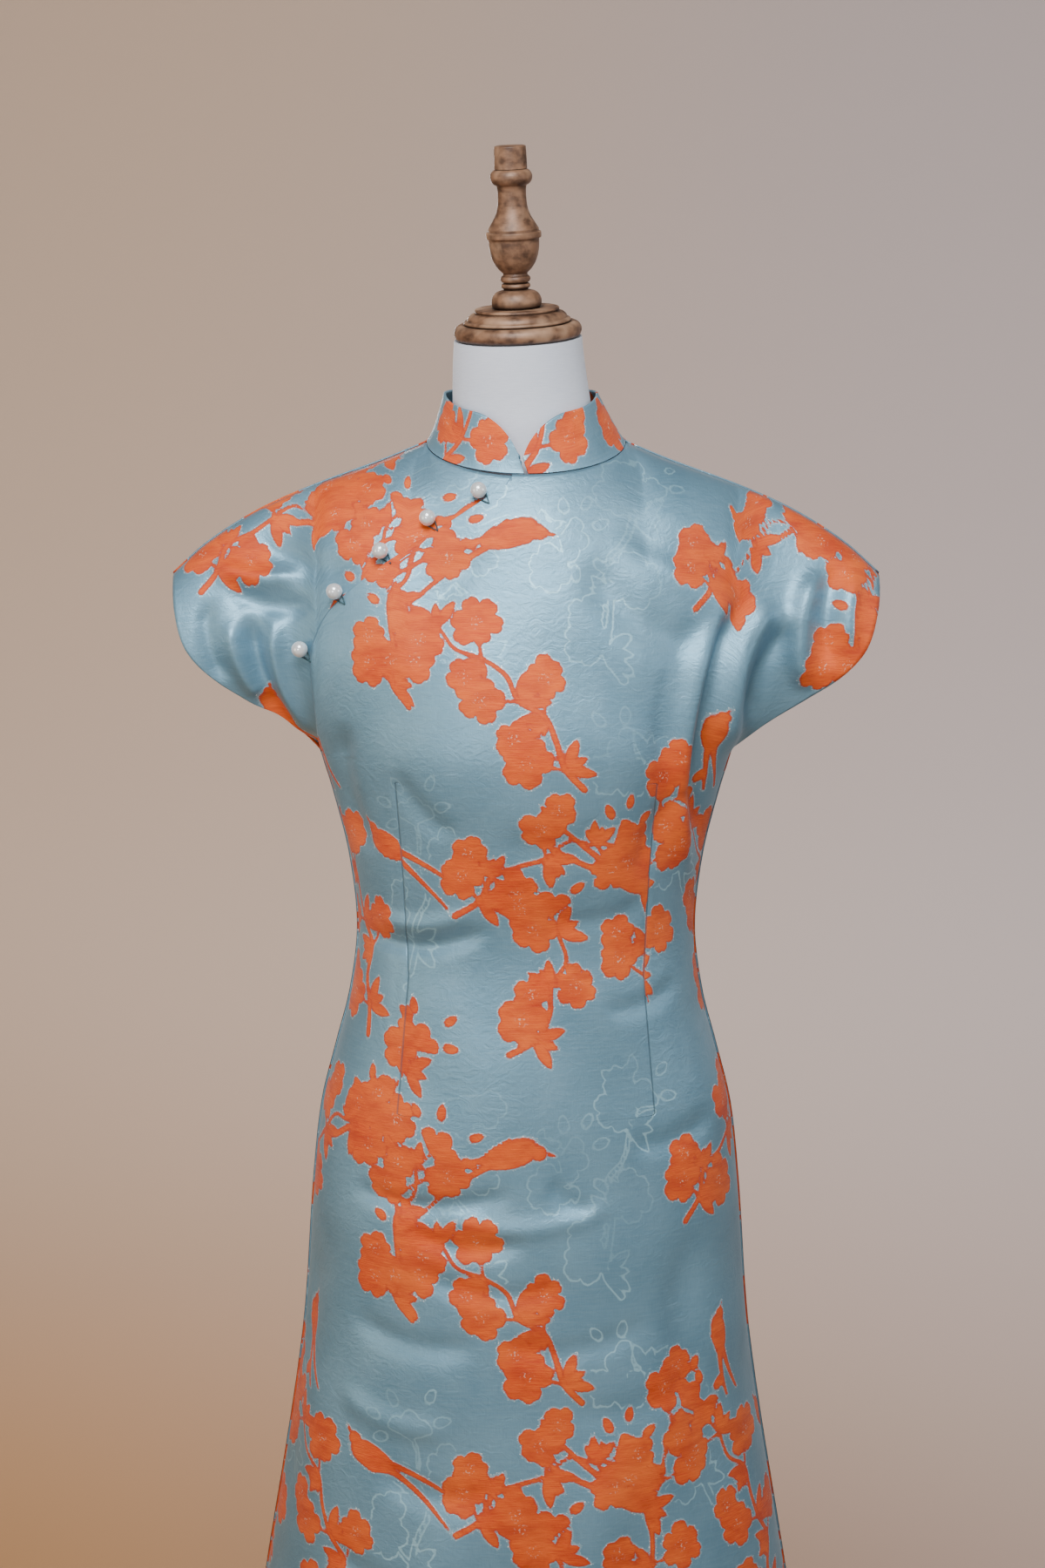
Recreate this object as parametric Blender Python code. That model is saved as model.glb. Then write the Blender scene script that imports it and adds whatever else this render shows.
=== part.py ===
"""Cheongsam with a diagonal closing and cap sleeves, standing on a limbless linen dress form.

Metres, +Z up. The front faces -Y, the wearer's left is +X, and the origin is on the floor under the
middle of the round base.
"""
import math

import bmesh
import bpy
from mathutils import Euler, Vector

# Cloth
WALL = 0.0014               # brocade with its turned edges
SEAM = 0.0003               # gap between pieces that meet
LAYER = 0.0040              # depth of the right front beneath the overlap
OVERLAP = 0.040             # how far the right front runs on under the front
FADE_START, FADE_END = 0.022, 0.062   # past the diagonal edge the right front rises to full size

# Levels
ARM_Z = 1.127               # underarm
HEM_Z = 0.280
NECK_Z = 1.361              # where the collar meets the shoulder line
BUST_Z = 1.135

# Neckline, an oval seen from above
NECK_X = 0.075
NECK_FRONT, NECK_BACK = 0.067, 0.058
NECK_DROP, NECK_LIFT = 0.023, 0.011   # the front dips and the back rises from NECK_Z
NECK_SHARE = 0.34           # share of the top edge that is neckline
CROWN_FRONT, CROWN_BACK = (0.012, 0.005), (0.105, -0.052)   # rise of the shoulder line over the neck hole

# Collar
COLLAR_WALL = 0.0016
COLLAR_RISE, COLLAR_RISE_FRONT = 0.036, 0.006
COLLAR_LEAN, COLLAR_LEAN_SIDE = 0.008, 0.009
COLLAR_SHIFT = -0.004       # its top edge follows the neck, to the wearer's right
COLLAR_CORNER = 0.045       # length of the rounded front corner along the neckline
COLLAR_LIFT = 0.0008        # clears the panels' neck edge

# Body of the dress: depth of the front and back, and the sleeves' hollow
BUST_SWELL, BUST_SPREAD, BUST_FALL, BUST_HEIGHT = 0.014, 0.060, 0.050, 0.080
SLEEVE_SWELL = 0.034
ARMHOLE_SOFT = 0.25         # how gently the chest runs out into the sleeve
FRONT_ROUND, BACK_ROUND = 1.84, 2.6   # how squarely the chest and back turn into the shoulders
BACK_HEM_DROP = 0.004       # the back's sleeve edge hangs this much lower

SILHOUETTE = (              # z, half width, front depth, back depth, squareness
    (1.380, 0.1720, 0.114, 0.100, 2.6),
    (1.210, 0.1690, 0.114, 0.102, 2.3),
    (1.160, 0.1640, 0.114, 0.101, 2.0),
    (1.127, 0.1565, 0.114, 0.100, 1.9),
    (1.095, 0.1470, 0.112, 0.098, 1.9),
    (1.045, 0.1350, 0.105, 0.093, 2.0),
    (0.990, 0.1295, 0.097, 0.088, 2.0),
    (0.940, 0.1355, 0.099, 0.094, 2.1),
    (0.896, 0.1470, 0.104, 0.106, 2.1),
    (0.850, 0.1585, 0.108, 0.118, 2.1),
    (0.790, 0.1655, 0.111, 0.126, 2.1),
    (0.660, 0.1760, 0.118, 0.133, 2.1),
    (0.470, 0.2065, 0.135, 0.150, 2.1),
    (0.280, 0.2380, 0.152, 0.168, 2.1),
)
SHOULDER = (                # x, z of the fold over the shoulder
    (0.075, 1.3610),
    (0.108, 1.3475),
    (0.160, 1.3285),
    (0.202, 1.3100),
    (0.242, 1.2850),
    (0.268, 1.2620),
)
SLEEVE_EDGE = (             # share of the edge from tip to underarm, x, z
    (0.00, 0.2680, 1.2620),
    (0.15, 0.2645, 1.2340),
    (0.30, 0.2560, 1.2070),
    (0.43, 0.2390, 1.1870),
    (0.63, 0.2110, 1.1670),
    (0.81, 0.1830, 1.1490),
    (1.00, 0.1565, 1.1270),
)
DIAGONAL = (                # z, distance from the middle of the closing's edge, on the wearer's right
    (1.338, 0.0000),
    (1.329, 0.0170),
    (1.299, 0.0635),
    (1.273, 0.1045),
    (1.250, 0.1340),
    (1.234, 0.1495),
    (1.212, 0.1595),
    (1.192, 0.1610),
    (1.160, 0.1585),
    (1.127, 0.1565),
)
DIAGONAL_START = 0.030      # share of the row at which the overlap's top corner lies

# Buttons
PEARL_R = 0.0060
SHANK_R, SHANK_H = 0.0020, 0.0012
BUTTONS = (                 # distance from the middle, z
    (0.034, 1.3250),
    (0.071, 1.3050),
    (0.106, 1.2815),
    (0.139, 1.2520),
    (0.166, 1.2090),
)

# Grid of the cloth
ROWS_FRONT, ROWS_BACK, ROWS_LOWER = 17, 10, 17
ROWS_UNDERARM = (0.97,)     # an extra row where the diagonal edge runs into the underarm
COLUMNS = 12

# Dress form
FORM = (                    # z, half width, front depth, back depth, squareness, middle in y
    (0.690, 0.120, 0.070, 0.085, 2.0, 0.000),
    (0.700, 0.148, 0.090, 0.107, 2.0, 0.000),
    (0.720, 0.156, 0.096, 0.112, 2.0, 0.000),
    (0.790, 0.153, 0.097, 0.111, 2.0, 0.000),
    (0.850, 0.147, 0.095, 0.105, 2.0, 0.000),
    (0.896, 0.136, 0.091, 0.094, 2.0, 0.000),
    (0.940, 0.125, 0.087, 0.083, 2.0, 0.000),
    (0.990, 0.119, 0.084, 0.077, 2.0, 0.000),
    (1.045, 0.124, 0.090, 0.081, 2.0, 0.000),
    (1.095, 0.134, 0.103, 0.085, 2.0, 0.000),
    (1.135, 0.142, 0.110, 0.087, 2.0, 0.000),
    (1.180, 0.147, 0.102, 0.088, 2.1, 0.000),
    (1.250, 0.147, 0.083, 0.080, 2.2, 0.000),
    (1.290, 0.137, 0.064, 0.068, 2.0, 0.000),
    (1.315, 0.112, 0.055, 0.057, 1.9, 0.000),
    (1.335, 0.084, 0.051, 0.049, 1.9, 0.000),
    (1.352, 0.062, 0.048, 0.047, 2.0, -0.001),
    (1.370, 0.054, 0.047, 0.046, 2.0, -0.003),
    (1.395, 0.0505, 0.0465, 0.046, 2.0, -0.006),
    (1.4375, 0.0478, 0.0478, 0.0478, 2.0, -0.014),
)
FORM_SIDES = 32
NECK_LEAN, NECK_ROLL = math.radians(9.0), math.radians(-2.5)   # forward, and to the wearer's right
LEAN_FROM = 1.335           # the neck's rings tilt from here up
NECK_SHIFT = -0.006         # sideways shift of the neck's top, from its roll
FINIAL_SIDES = 24

# Stand
BASE_R, BASE_EDGE, BASE_H = 0.190, 0.020, 0.046
POLE_R = 0.014
HUB_R = 0.030


def smooth(table, at):
    """The other columns of a table at a place in its first column, on a smooth curve."""
    rows = table if table[0][0] < table[-1][0] else table[::-1]
    at = min(max(at, rows[0][0]), rows[-1][0])
    k = 0
    while k < len(rows) - 2 and at > rows[k + 1][0]:
        k += 1
    before, a, b, after = rows[max(k - 1, 0)], rows[k], rows[k + 1], rows[min(k + 2, len(rows) - 1)]
    span = b[0] - a[0]
    t = (at - a[0]) / span
    values = []
    for c in range(1, len(a)):
        slope_a = (b[c] - before[c]) / (b[0] - before[0]) * span
        slope_b = (after[c] - a[c]) / (after[0] - a[0]) * span
        values.append(a[c] * (1 + 2 * t) * (1 - t) ** 2 + slope_a * t * (1 - t) ** 2
                      + b[c] * (3 - 2 * t) * t ** 2 - slope_b * (1 - t) * t ** 2)
    return values


def ease(t):
    """A soft step from 0 to 1."""
    t = min(max(t, 0.0), 1.0)
    return t * t * (3 - 2 * t)


def neckline(angle):
    """A point of the neckline, from the middle of the front (0) round to the middle of the back (pi)."""
    c = math.cos(angle)
    depth = NECK_FRONT if c > 0 else NECK_BACK
    fall = NECK_DROP if c > 0 else NECK_LIFT
    return Vector((NECK_X * math.sin(angle), -depth * c, NECK_Z - fall * c))


def ridge(x, crown):
    """Height of the shoulder fold, carried on over the neck hole to a crown."""
    if x >= NECK_X:
        return smooth(SHOULDER, x)[0]
    inward = 1 - x / NECK_X
    return NECK_Z + crown[0] * inward + crown[1] * inward ** 2


def outline(side, u, v):
    """x and z in the upper body, for a share u across and a share v down, by blending its four edges."""
    front = side < 0
    if u < NECK_SHARE:
        turn = 0.5 * math.pi * u / NECK_SHARE
        edge = neckline(turn if front else math.pi - turn)
        top = (edge.x, edge.z)
    else:
        x = NECK_X + (SHOULDER[-1][0] - NECK_X) * (u - NECK_SHARE) / (1 - NECK_SHARE)
        top = (x, smooth(SHOULDER, x)[0])
    arm_x = SLEEVE_EDGE[-1][1]
    bottom = (arm_x * math.sin(0.5 * math.pi * u), ARM_Z)
    neck_z = neckline(0.0 if front else math.pi).z
    middle = (0.0, neck_z + (ARM_Z - neck_z) * v)
    outer = smooth(SLEEVE_EDGE, v)
    if not front:
        outer[1] -= BACK_HEM_DROP * math.sin(math.pi * v)
    corners = ((0.0, neck_z), SHOULDER[-1], (arm_x, ARM_Z), (0.0, ARM_Z))
    return [(1 - v) * top[k] + v * bottom[k] + (1 - u) * middle[k] + u * outer[k]
            - (1 - u) * (1 - v) * corners[0][k] - u * (1 - v) * corners[1][k]
            - u * v * corners[2][k] - (1 - u) * v * corners[3][k] for k in (0, 1)]


def swell(side, x, z):
    """Depth of the cloth in front of the side seam (side -1) or behind it (+1)."""
    half, front, back, square = smooth(SILHOUETTE, z)
    depth = front if side < 0 else back
    across = (abs(x) / half) ** square
    if z <= ARM_Z:
        body = depth * math.sqrt(max(1.0 - across, 0.0))
    else:
        crown, turn = (CROWN_FRONT, FRONT_ROUND) if side < 0 else (CROWN_BACK, BACK_ROUND)
        climb = min((z - ARM_Z) / (ridge(abs(x), crown) - ARM_Z), 1.0)
        room = 4 * climb * (1 - climb)
        chest = 0.5 * (1 - across + math.hypot(1 - across, ARMHOLE_SOFT * room))
        fullness = room if climb < 0.5 else room ** 0.6
        sleeve = SLEEVE_SWELL * fullness * ease((abs(x) - 0.05) / 0.07)
        body = math.sqrt(depth ** 2 * chest * (1 - climb ** turn) + sleeve ** 2)
    if side < 0:
        body += (BUST_SWELL * math.exp(-((z - BUST_Z) / BUST_HEIGHT) ** 2)
                 * math.exp(-(max(abs(x) - BUST_SPREAD, 0.0) / BUST_FALL) ** 2)
                 * math.sqrt(max(1 - (abs(x) / 0.3) ** 2, 0.0)))
    return body


def seam_clear(x, z):
    """How far a panel's outer face keeps from the seam plane, so that the walls don't cross it."""
    sharp = ease((x - 0.070) / 0.050)
    if z < ARM_Z:
        sharp = 0.35 + 0.65 * ease((z - 1.06) / (ARM_Z - 1.06))
    return SEAM + WALL * max(sharp, 0.35)


def cloth(side, u, s):
    """A point of the outer face: u is -1 to 1 across, s is 0 to 1 down to the underarm, 2 at the hem."""
    share = abs(u)
    if s <= 1.0:
        x, z = outline(side, share, s)
    else:
        z = ARM_Z + (HEM_Z - ARM_Z) * (s - 1.0)
        x = smooth(SILHOUETTE, z)[0] * math.sin(0.5 * math.pi * share)
    y = swell(side, x, z) + seam_clear(x, z)
    if s < 1.0 and share < NECK_SHARE:
        turn = 0.5 * math.pi * share / NECK_SHARE
        edge = neckline(turn if side < 0 else math.pi - turn)
        edge_y = swell(side, edge.x, edge.z) + seam_clear(edge.x, edge.z)
        y += (max(abs(edge.y), seam_clear(edge.x, edge.z)) - edge_y) * (1 - s) ** 3
    return Vector((math.copysign(x, u), side * y, z))


def cloth_normal(side, u, s):
    """The outward direction at a point of the outer face."""
    step = 0.01
    s = min(max(s, step), 2.0 - step)
    u = min(max(u, -1.0 + step), 1.0 - step)
    across = cloth(side, u + step, s) - cloth(side, u - step, s)
    down = cloth(side, u, s + step) - cloth(side, u, s - step)
    return (down.cross(across) * -side).normalized()


def diagonal_share(s, inset):
    """Share of a row, on the wearer's right, at which the diagonal edge lies, moved in by inset."""
    if s >= 1.0:
        return 1.0
    low, high = 0.0, 1.0
    for _ in range(30):
        middle = 0.5 * (low + high)
        x, z = outline(-1, middle, s)
        if x < max(smooth(DIAGONAL, z)[0] - inset, 0.0):
            low = middle
        else:
            high = middle
    return high


def past_diagonal(x, z):
    """Distance of a place on the wearer's right from the diagonal edge, positive outside it."""
    nearest = 1.0
    for k in range(60):
        edge_z = DIAGONAL[0][0] + (DIAGONAL[-1][0] - DIAGONAL[0][0]) * k / 59
        edge_x = smooth(DIAGONAL, edge_z)[0]
        nearest = min(nearest, math.hypot(abs(x) - edge_x, z - edge_z))
    inside = z < DIAGONAL[0][0] and abs(x) < smooth(DIAGONAL, z)[0]
    return -nearest if inside else nearest


def right_cloth(u, s):
    """A point of the right front: sunk beneath the overlap, and level with the front's line past it."""
    point = cloth(-1, u, s)
    sunk = 1 - ease((past_diagonal(point.x, point.z) - FADE_START) / (FADE_END - FADE_START))
    deep = LAYER * (1 + 0.8 * ease((s - 0.75) / 0.18))
    point -= cloth_normal(-1, u, s) * deep * sunk
    point.y = min(point.y, -(SEAM + WALL))
    return point


def material(name, colour, roughness, metallic=0.0):
    """A plain Principled material."""
    mat = bpy.data.materials.new(name)
    mat.use_nodes = True
    shader = mat.node_tree.nodes["Principled BSDF"]
    shader.inputs["Base Color"].default_value = (*colour, 1.0)
    shader.inputs["Roughness"].default_value = roughness
    shader.inputs["Metallic"].default_value = metallic
    return mat


def add_object(name, mesh, mat):
    """An object of the part, shaded smooth with its real edges kept sharp."""
    mesh.materials.append(mat)
    mesh.shade_smooth()
    mesh.set_sharp_from_angle(angle=math.radians(40))
    obj = bpy.data.objects.new(name, mesh)
    bpy.context.scene.collection.objects.link(obj)
    return obj


def sheet(name, rows, wall, mat):
    """A wall of cloth: a grid of points on its outer face, thickened inward."""
    width = len(rows[0])
    points = [point for row in rows for point in row]
    faces = []
    for i in range(len(rows) - 1):
        for j in range(width - 1):
            a = i * width + j
            faces.append((a, a + width, a + width + 1, a + 1))
    mesh = bpy.data.meshes.new(name)
    mesh.from_pydata(points, [], faces)
    obj = add_object(name, mesh, mat)
    thick = obj.modifiers.new("Wall", "SOLIDIFY")
    thick.thickness = wall
    thick.offset = -1.0
    return obj


def turned(name, profile, sides, mat):
    """A turned solid from a profile of radius and height, top to bottom, that starts and ends on its axis."""
    mesh = bpy.data.meshes.new(name)
    mesh.from_pydata([(r, 0.0, z) for r, z in profile], [(k, k + 1) for k in range(len(profile) - 1)], [])
    obj = add_object(name, mesh, mat)
    lathe = obj.modifiers.new("Lathe", "SCREW")
    lathe.steps = sides
    lathe.render_steps = sides
    lathe.use_merge_vertices = True
    lathe.merge_threshold = 0.0001
    lathe.use_smooth_shade = True
    return obj


def arc(radius, middle_r, middle_z, start, end, steps):
    """Points of an arc in a profile, between two angles in degrees from the outward direction."""
    angles = [math.radians(start + (end - start) * k / steps) for k in range(steps + 1)]
    return [(middle_r + radius * math.cos(a), middle_z + radius * math.sin(a)) for a in angles]


def row_levels(upper):
    """Shares down the dress of its rows, with a number of them above the underarm."""
    return [k / upper for k in range(upper)] + [1 + k / ROWS_LOWER for k in range(ROWS_LOWER + 1)]


def make_front(mat):
    """The front with the left sleeve and the overlap, cut in one."""
    rows = []
    levels = row_levels(ROWS_FRONT)
    levels[ROWS_FRONT:ROWS_FRONT] = ROWS_UNDERARM
    for s in levels:
        edge = max(diagonal_share(s, 0.0), DIAGONAL_START)
        shares = [-edge * (1 - k / COLUMNS) for k in range(COLUMNS)]
        shares += [k / COLUMNS for k in range(COLUMNS + 1)]
        rows.append([cloth(-1, u, s) for u in shares])
    return sheet("front", rows, WALL, mat)


def make_right_front(mat):
    """The right front with the right sleeve, under the overlap at its inner edge."""
    rows = []
    levels = [k / ROWS_FRONT for k in range(ROWS_FRONT)] + [*ROWS_UNDERARM, 1.0, 1.04]
    for s in levels:
        outer = 1.0 if s < ROWS_UNDERARM[0] else 0.90
        inner = diagonal_share(min(s, 0.99), OVERLAP)
        inner = max(min(inner, 0.6), 0.012)
        shares = [outer + (inner - outer) * k / COLUMNS for k in range(COLUMNS + 1)]
        rows.append([right_cloth(-u, s) for u in shares])
    return sheet("right_front", rows, WALL, mat)


def make_back(mat):
    """The back with the backs of both sleeves."""
    rows = []
    for s in row_levels(ROWS_BACK):
        shares = [1 - k / COLUMNS for k in range(2 * COLUMNS + 1)]
        rows.append([cloth(1, u, s) for u in shares])
    return sheet("back", rows, WALL, mat)


def make_collar(mat):
    """A stand collar with rounded front corners that meet in a notch."""
    columns, height_steps = 15, 4
    half_turns = [0.02 + (math.pi - 0.02) * (k / columns) ** 1.4 for k in range(columns + 1)]
    turns = [-a for a in half_turns[:-1]] + half_turns[::-1]
    rows = []
    for i in range(height_steps, -1, -1):
        t = i / height_steps
        row = []
        for turn in turns:
            base = neckline(abs(turn))
            corner = min(NECK_X * abs(turn) / COLLAR_CORNER, 1.0)
            rise = COLLAR_RISE + COLLAR_RISE_FRONT * math.cos(turn)
            rise *= math.sqrt(1 - (1 - corner) ** 2)
            lean = (COLLAR_LEAN + COLLAR_LEAN_SIDE * math.sin(turn) ** 2) * rise / COLLAR_RISE
            inward = Vector((-base.x, -base.y, 0.0)).normalized() * lean * t ** 0.8
            point = base + inward + Vector((0.0, 0.0, COLLAR_LIFT + rise * t))
            point.x = math.copysign(point.x, turn) + COLLAR_SHIFT * t
            row.append(point)
        rows.append(row)
    return sheet("collar", rows, COLLAR_WALL, mat)


def make_buttons(mat):
    """Pearl buttons, each standing on its shank on the right front, along the diagonal edge."""
    stem = SHANK_H + PEARL_R - math.sqrt(PEARL_R ** 2 - SHANK_R ** 2)
    pearl = arc(PEARL_R, 0.0, SHANK_H + PEARL_R, 90, -math.degrees(math.acos(SHANK_R / PEARL_R)), 9)
    profile = [(0.0, pearl[0][1])] + pearl[1:-1] + [(SHANK_R, stem), (SHANK_R, 0.0), (0.0, 0.0)]
    for number, (x, z) in enumerate(BUTTONS, start=1):
        u, s = find_place(x, z)
        seat = right_cloth(-u, s)
        normal = cloth_normal(-1, -u, s)
        button = turned(f"button_{number}", profile, 14, mat)
        button.location = seat + normal * (SEAM + 0.0002)
        button.rotation_euler = normal.to_track_quat("Z", "Y").to_euler()


def find_place(x, z):
    """The shares across and down of a place in the upper body."""
    u, s = 0.5, 0.5
    for _ in range(60):
        at = outline(-1, u, s)
        u = min(max(u + (x - at[0]) * 3.0, 0.0), 1.0)
        s = min(max(s - (z - at[1]) * 3.0, 0.0), 1.0)
    return u, s


def make_form(mat):
    """The linen torso and neck, one closed solid, with its neck leaning like the cap on it."""
    levels = [row[0] for row in FORM]
    bm = bmesh.new()
    rings = []
    for z in levels:
        half, front, back, square, middle = smooth(FORM, z)
        lean = ease((z - LEAN_FROM) / (levels[-1] - LEAN_FROM))
        tilt = Euler((NECK_LEAN * lean, NECK_ROLL * lean, 0.0)).to_matrix()
        centre = Vector((NECK_SHIFT * lean, middle, z))
        ring = []
        for k in range(FORM_SIDES):
            turn = 2 * math.pi * k / FORM_SIDES
            x, y = math.cos(turn), math.sin(turn)
            size = (abs(x) ** square + abs(y) ** square) ** (-1 / square)
            depth = back if y > 0 else front
            ring.append(bm.verts.new(centre + tilt @ Vector((half * x * size, depth * y * size, 0.0))))
        rings.append(ring)
    for lower, upper in zip(rings, rings[1:]):
        for k in range(FORM_SIDES):
            following = (k + 1) % FORM_SIDES
            bm.faces.new((lower[k], lower[following], upper[following], upper[k]))
    bm.faces.new(rings[0][::-1])
    bm.faces.new(rings[-1])
    mesh = bpy.data.meshes.new("form_body")
    bm.to_mesh(mesh)
    bm.free()
    return add_object("form_body", mesh, mat)


def neck_top():
    """An empty on the neck's leaning top, which carries the turned wood."""
    seat = bpy.data.objects.new("neck_top", None)
    bpy.context.scene.collection.objects.link(seat)
    seat.rotation_euler = (NECK_LEAN, NECK_ROLL, 0.0)
    up = seat.rotation_euler.to_matrix() @ Vector((0.0, 0.0, 1.0))
    seat.location = Vector((NECK_SHIFT, FORM[-1][5], FORM[-1][0])) + up * SEAM
    return seat


def make_neck_cap(mat, seat):
    """The stepped wooden cap: a wide roll, a moulded tier and a thin disc."""
    profile = [(0.0, 0.0225), (0.0312, 0.0225), (0.0317, 0.0219), (0.0317, 0.0201), (0.0310, 0.0195)]
    profile += [(0.0330, 0.0187), (0.0352, 0.0168), (0.0366, 0.0148), (0.0392, 0.0138), (0.0396, 0.0130)]
    profile += [(0.0396, 0.0119), (0.0388, 0.0113), (0.0410, 0.0113)]
    profile += arc(0.0060, 0.0418, 0.0055, 75, -60, 8)
    profile += [(0.0435, 0.0), (0.0, 0.0)]
    cap = turned("neck_cap", profile, FINIAL_SIDES, mat)
    cap.parent = seat
    return cap


def make_finial(mat, seat):
    """The turned finial, an urn on a knob with a ringed spigot on top."""
    profile = [(0.0, 0.1172), (0.0105, 0.1172), (0.0116, 0.1166), (0.0119, 0.1150), (0.0121, 0.1012)]
    profile += arc(0.0062, 0.0094, 0.0946, 80, -80, 8)
    profile += [(0.0108, 0.0868), (0.0106, 0.0800)]
    profile += [(0.0112, 0.0730), (0.0130, 0.0672), (0.0158, 0.0624), (0.0183, 0.0590), (0.0189, 0.0567)]
    profile += [(0.0185, 0.0556), (0.0202, 0.0551), (0.0205, 0.0540), (0.0205, 0.0514), (0.0202, 0.0504)]
    profile += [(0.0189, 0.0502), (0.0186, 0.0445), (0.0176, 0.0388), (0.0156, 0.0332), (0.0126, 0.0286)]
    profile += [(0.0098, 0.0258), (0.0089, 0.0248)]
    profile += arc(0.0026, 0.0086, 0.0210, 70, -70, 4)
    profile += [(0.0088, 0.0180)]
    profile += arc(0.0018, 0.0091, 0.0160, 70, -70, 4)
    profile += [(0.0088, 0.0130), (0.0128, 0.0124), (0.0163, 0.0104), (0.0184, 0.0070), (0.0188, 0.0038)]
    profile += [(0.0182, 0.0012), (0.0170, 0.0), (0.0, 0.0)]
    finial = turned("finial", profile, FINIAL_SIDES, mat)
    finial.parent = seat
    finial.location = (0.0, 0.0, 0.0225 + SEAM)
    return finial


def make_stand(mat):
    """The pole under the torso and the round base it stands on."""
    base = [(0.0, BASE_H), (HUB_R - 0.002, BASE_H), (HUB_R, BASE_H - 0.002)]
    base += [(HUB_R, BASE_EDGE + 0.014), (HUB_R + 0.012, BASE_EDGE + 0.006), (HUB_R + 0.030, BASE_EDGE + 0.003)]
    base += [(BASE_R - 0.012, BASE_EDGE)]
    base += arc(0.010, BASE_R - 0.010, 0.010, 80, -90, 8)
    base += [(0.0, 0.0)]
    turned("base", base, 56, mat)
    top, bottom = FORM[0][0] - SEAM, BASE_H + SEAM
    turned("pole", [(0.0, top), (POLE_R, top), (POLE_R, bottom), (0.0, bottom)], 20, mat)


for old in list(bpy.data.objects):
    bpy.data.objects.remove(old, do_unlink=True)

brocade = material("brocade", (0.25, 0.42, 0.46), 0.42)
pearl_white = material("pearl", (0.86, 0.84, 0.78), 0.22)
linen = material("linen", (0.72, 0.73, 0.75), 0.85)
bronzed_wood = material("bronzed_wood", (0.22, 0.13, 0.075), 0.45)

make_front(brocade)
make_right_front(brocade)
make_back(brocade)
make_collar(brocade)
make_buttons(pearl_white)
make_form(linen)
top_seat = neck_top()
make_neck_cap(bronzed_wood, top_seat)
make_finial(bronzed_wood, top_seat)
make_stand(bronzed_wood)
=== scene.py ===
"""A blue satin cheongsam woven with orange blossom and birds, on a linen dress form with turned wood."""
import math

import bpy
import numpy as np
from mathutils import Euler, Matrix, Vector


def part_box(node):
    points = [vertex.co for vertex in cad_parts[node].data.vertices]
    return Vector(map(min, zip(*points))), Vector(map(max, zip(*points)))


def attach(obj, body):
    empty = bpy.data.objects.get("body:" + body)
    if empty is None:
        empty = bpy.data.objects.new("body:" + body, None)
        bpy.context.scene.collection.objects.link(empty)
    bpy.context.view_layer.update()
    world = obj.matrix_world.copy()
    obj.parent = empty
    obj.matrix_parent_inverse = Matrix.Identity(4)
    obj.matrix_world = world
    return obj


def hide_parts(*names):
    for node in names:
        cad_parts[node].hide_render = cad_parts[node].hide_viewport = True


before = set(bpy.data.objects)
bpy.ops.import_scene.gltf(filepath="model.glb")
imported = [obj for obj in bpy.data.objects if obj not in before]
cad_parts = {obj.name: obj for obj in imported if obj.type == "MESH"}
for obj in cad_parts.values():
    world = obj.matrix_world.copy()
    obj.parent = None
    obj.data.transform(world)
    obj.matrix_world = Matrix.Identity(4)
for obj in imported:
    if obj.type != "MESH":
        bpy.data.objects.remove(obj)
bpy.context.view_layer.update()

# ---------------------------------------------------------------- the studio
# A pale seamless sweep, laid on the floor and curving up far behind the stand on all sides.
SWEEP_FLAT, SWEEP_CURVE, SWEEP_TOP = 2.2, 4.0, 5.0
sweep_line = [(0.0, 0.0), (SWEEP_FLAT, 0.0)]
for k in range(1, 13):
    turn = 0.5 * math.pi * k / 12
    sweep_line.append((SWEEP_FLAT + SWEEP_CURVE * math.sin(turn), SWEEP_CURVE * (1 - math.cos(turn))))
sweep_line.append((SWEEP_FLAT + SWEEP_CURVE, SWEEP_TOP))
sweep_mesh = bpy.data.meshes.new("sweep")
sweep_edges = [(k, k + 1) for k in range(len(sweep_line) - 1)]
sweep_mesh.from_pydata([(r, 0.0, z) for r, z in sweep_line], sweep_edges, [])
sweep = bpy.data.objects.new("sweep", sweep_mesh)
bpy.context.collection.objects.link(sweep)
spin = sweep.modifiers.new("Round", "SCREW")
spin.steps = spin.render_steps = 96
spin.use_merge_vertices = True
spin.merge_threshold = 0.0001
spin.use_smooth_shade = True


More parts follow.
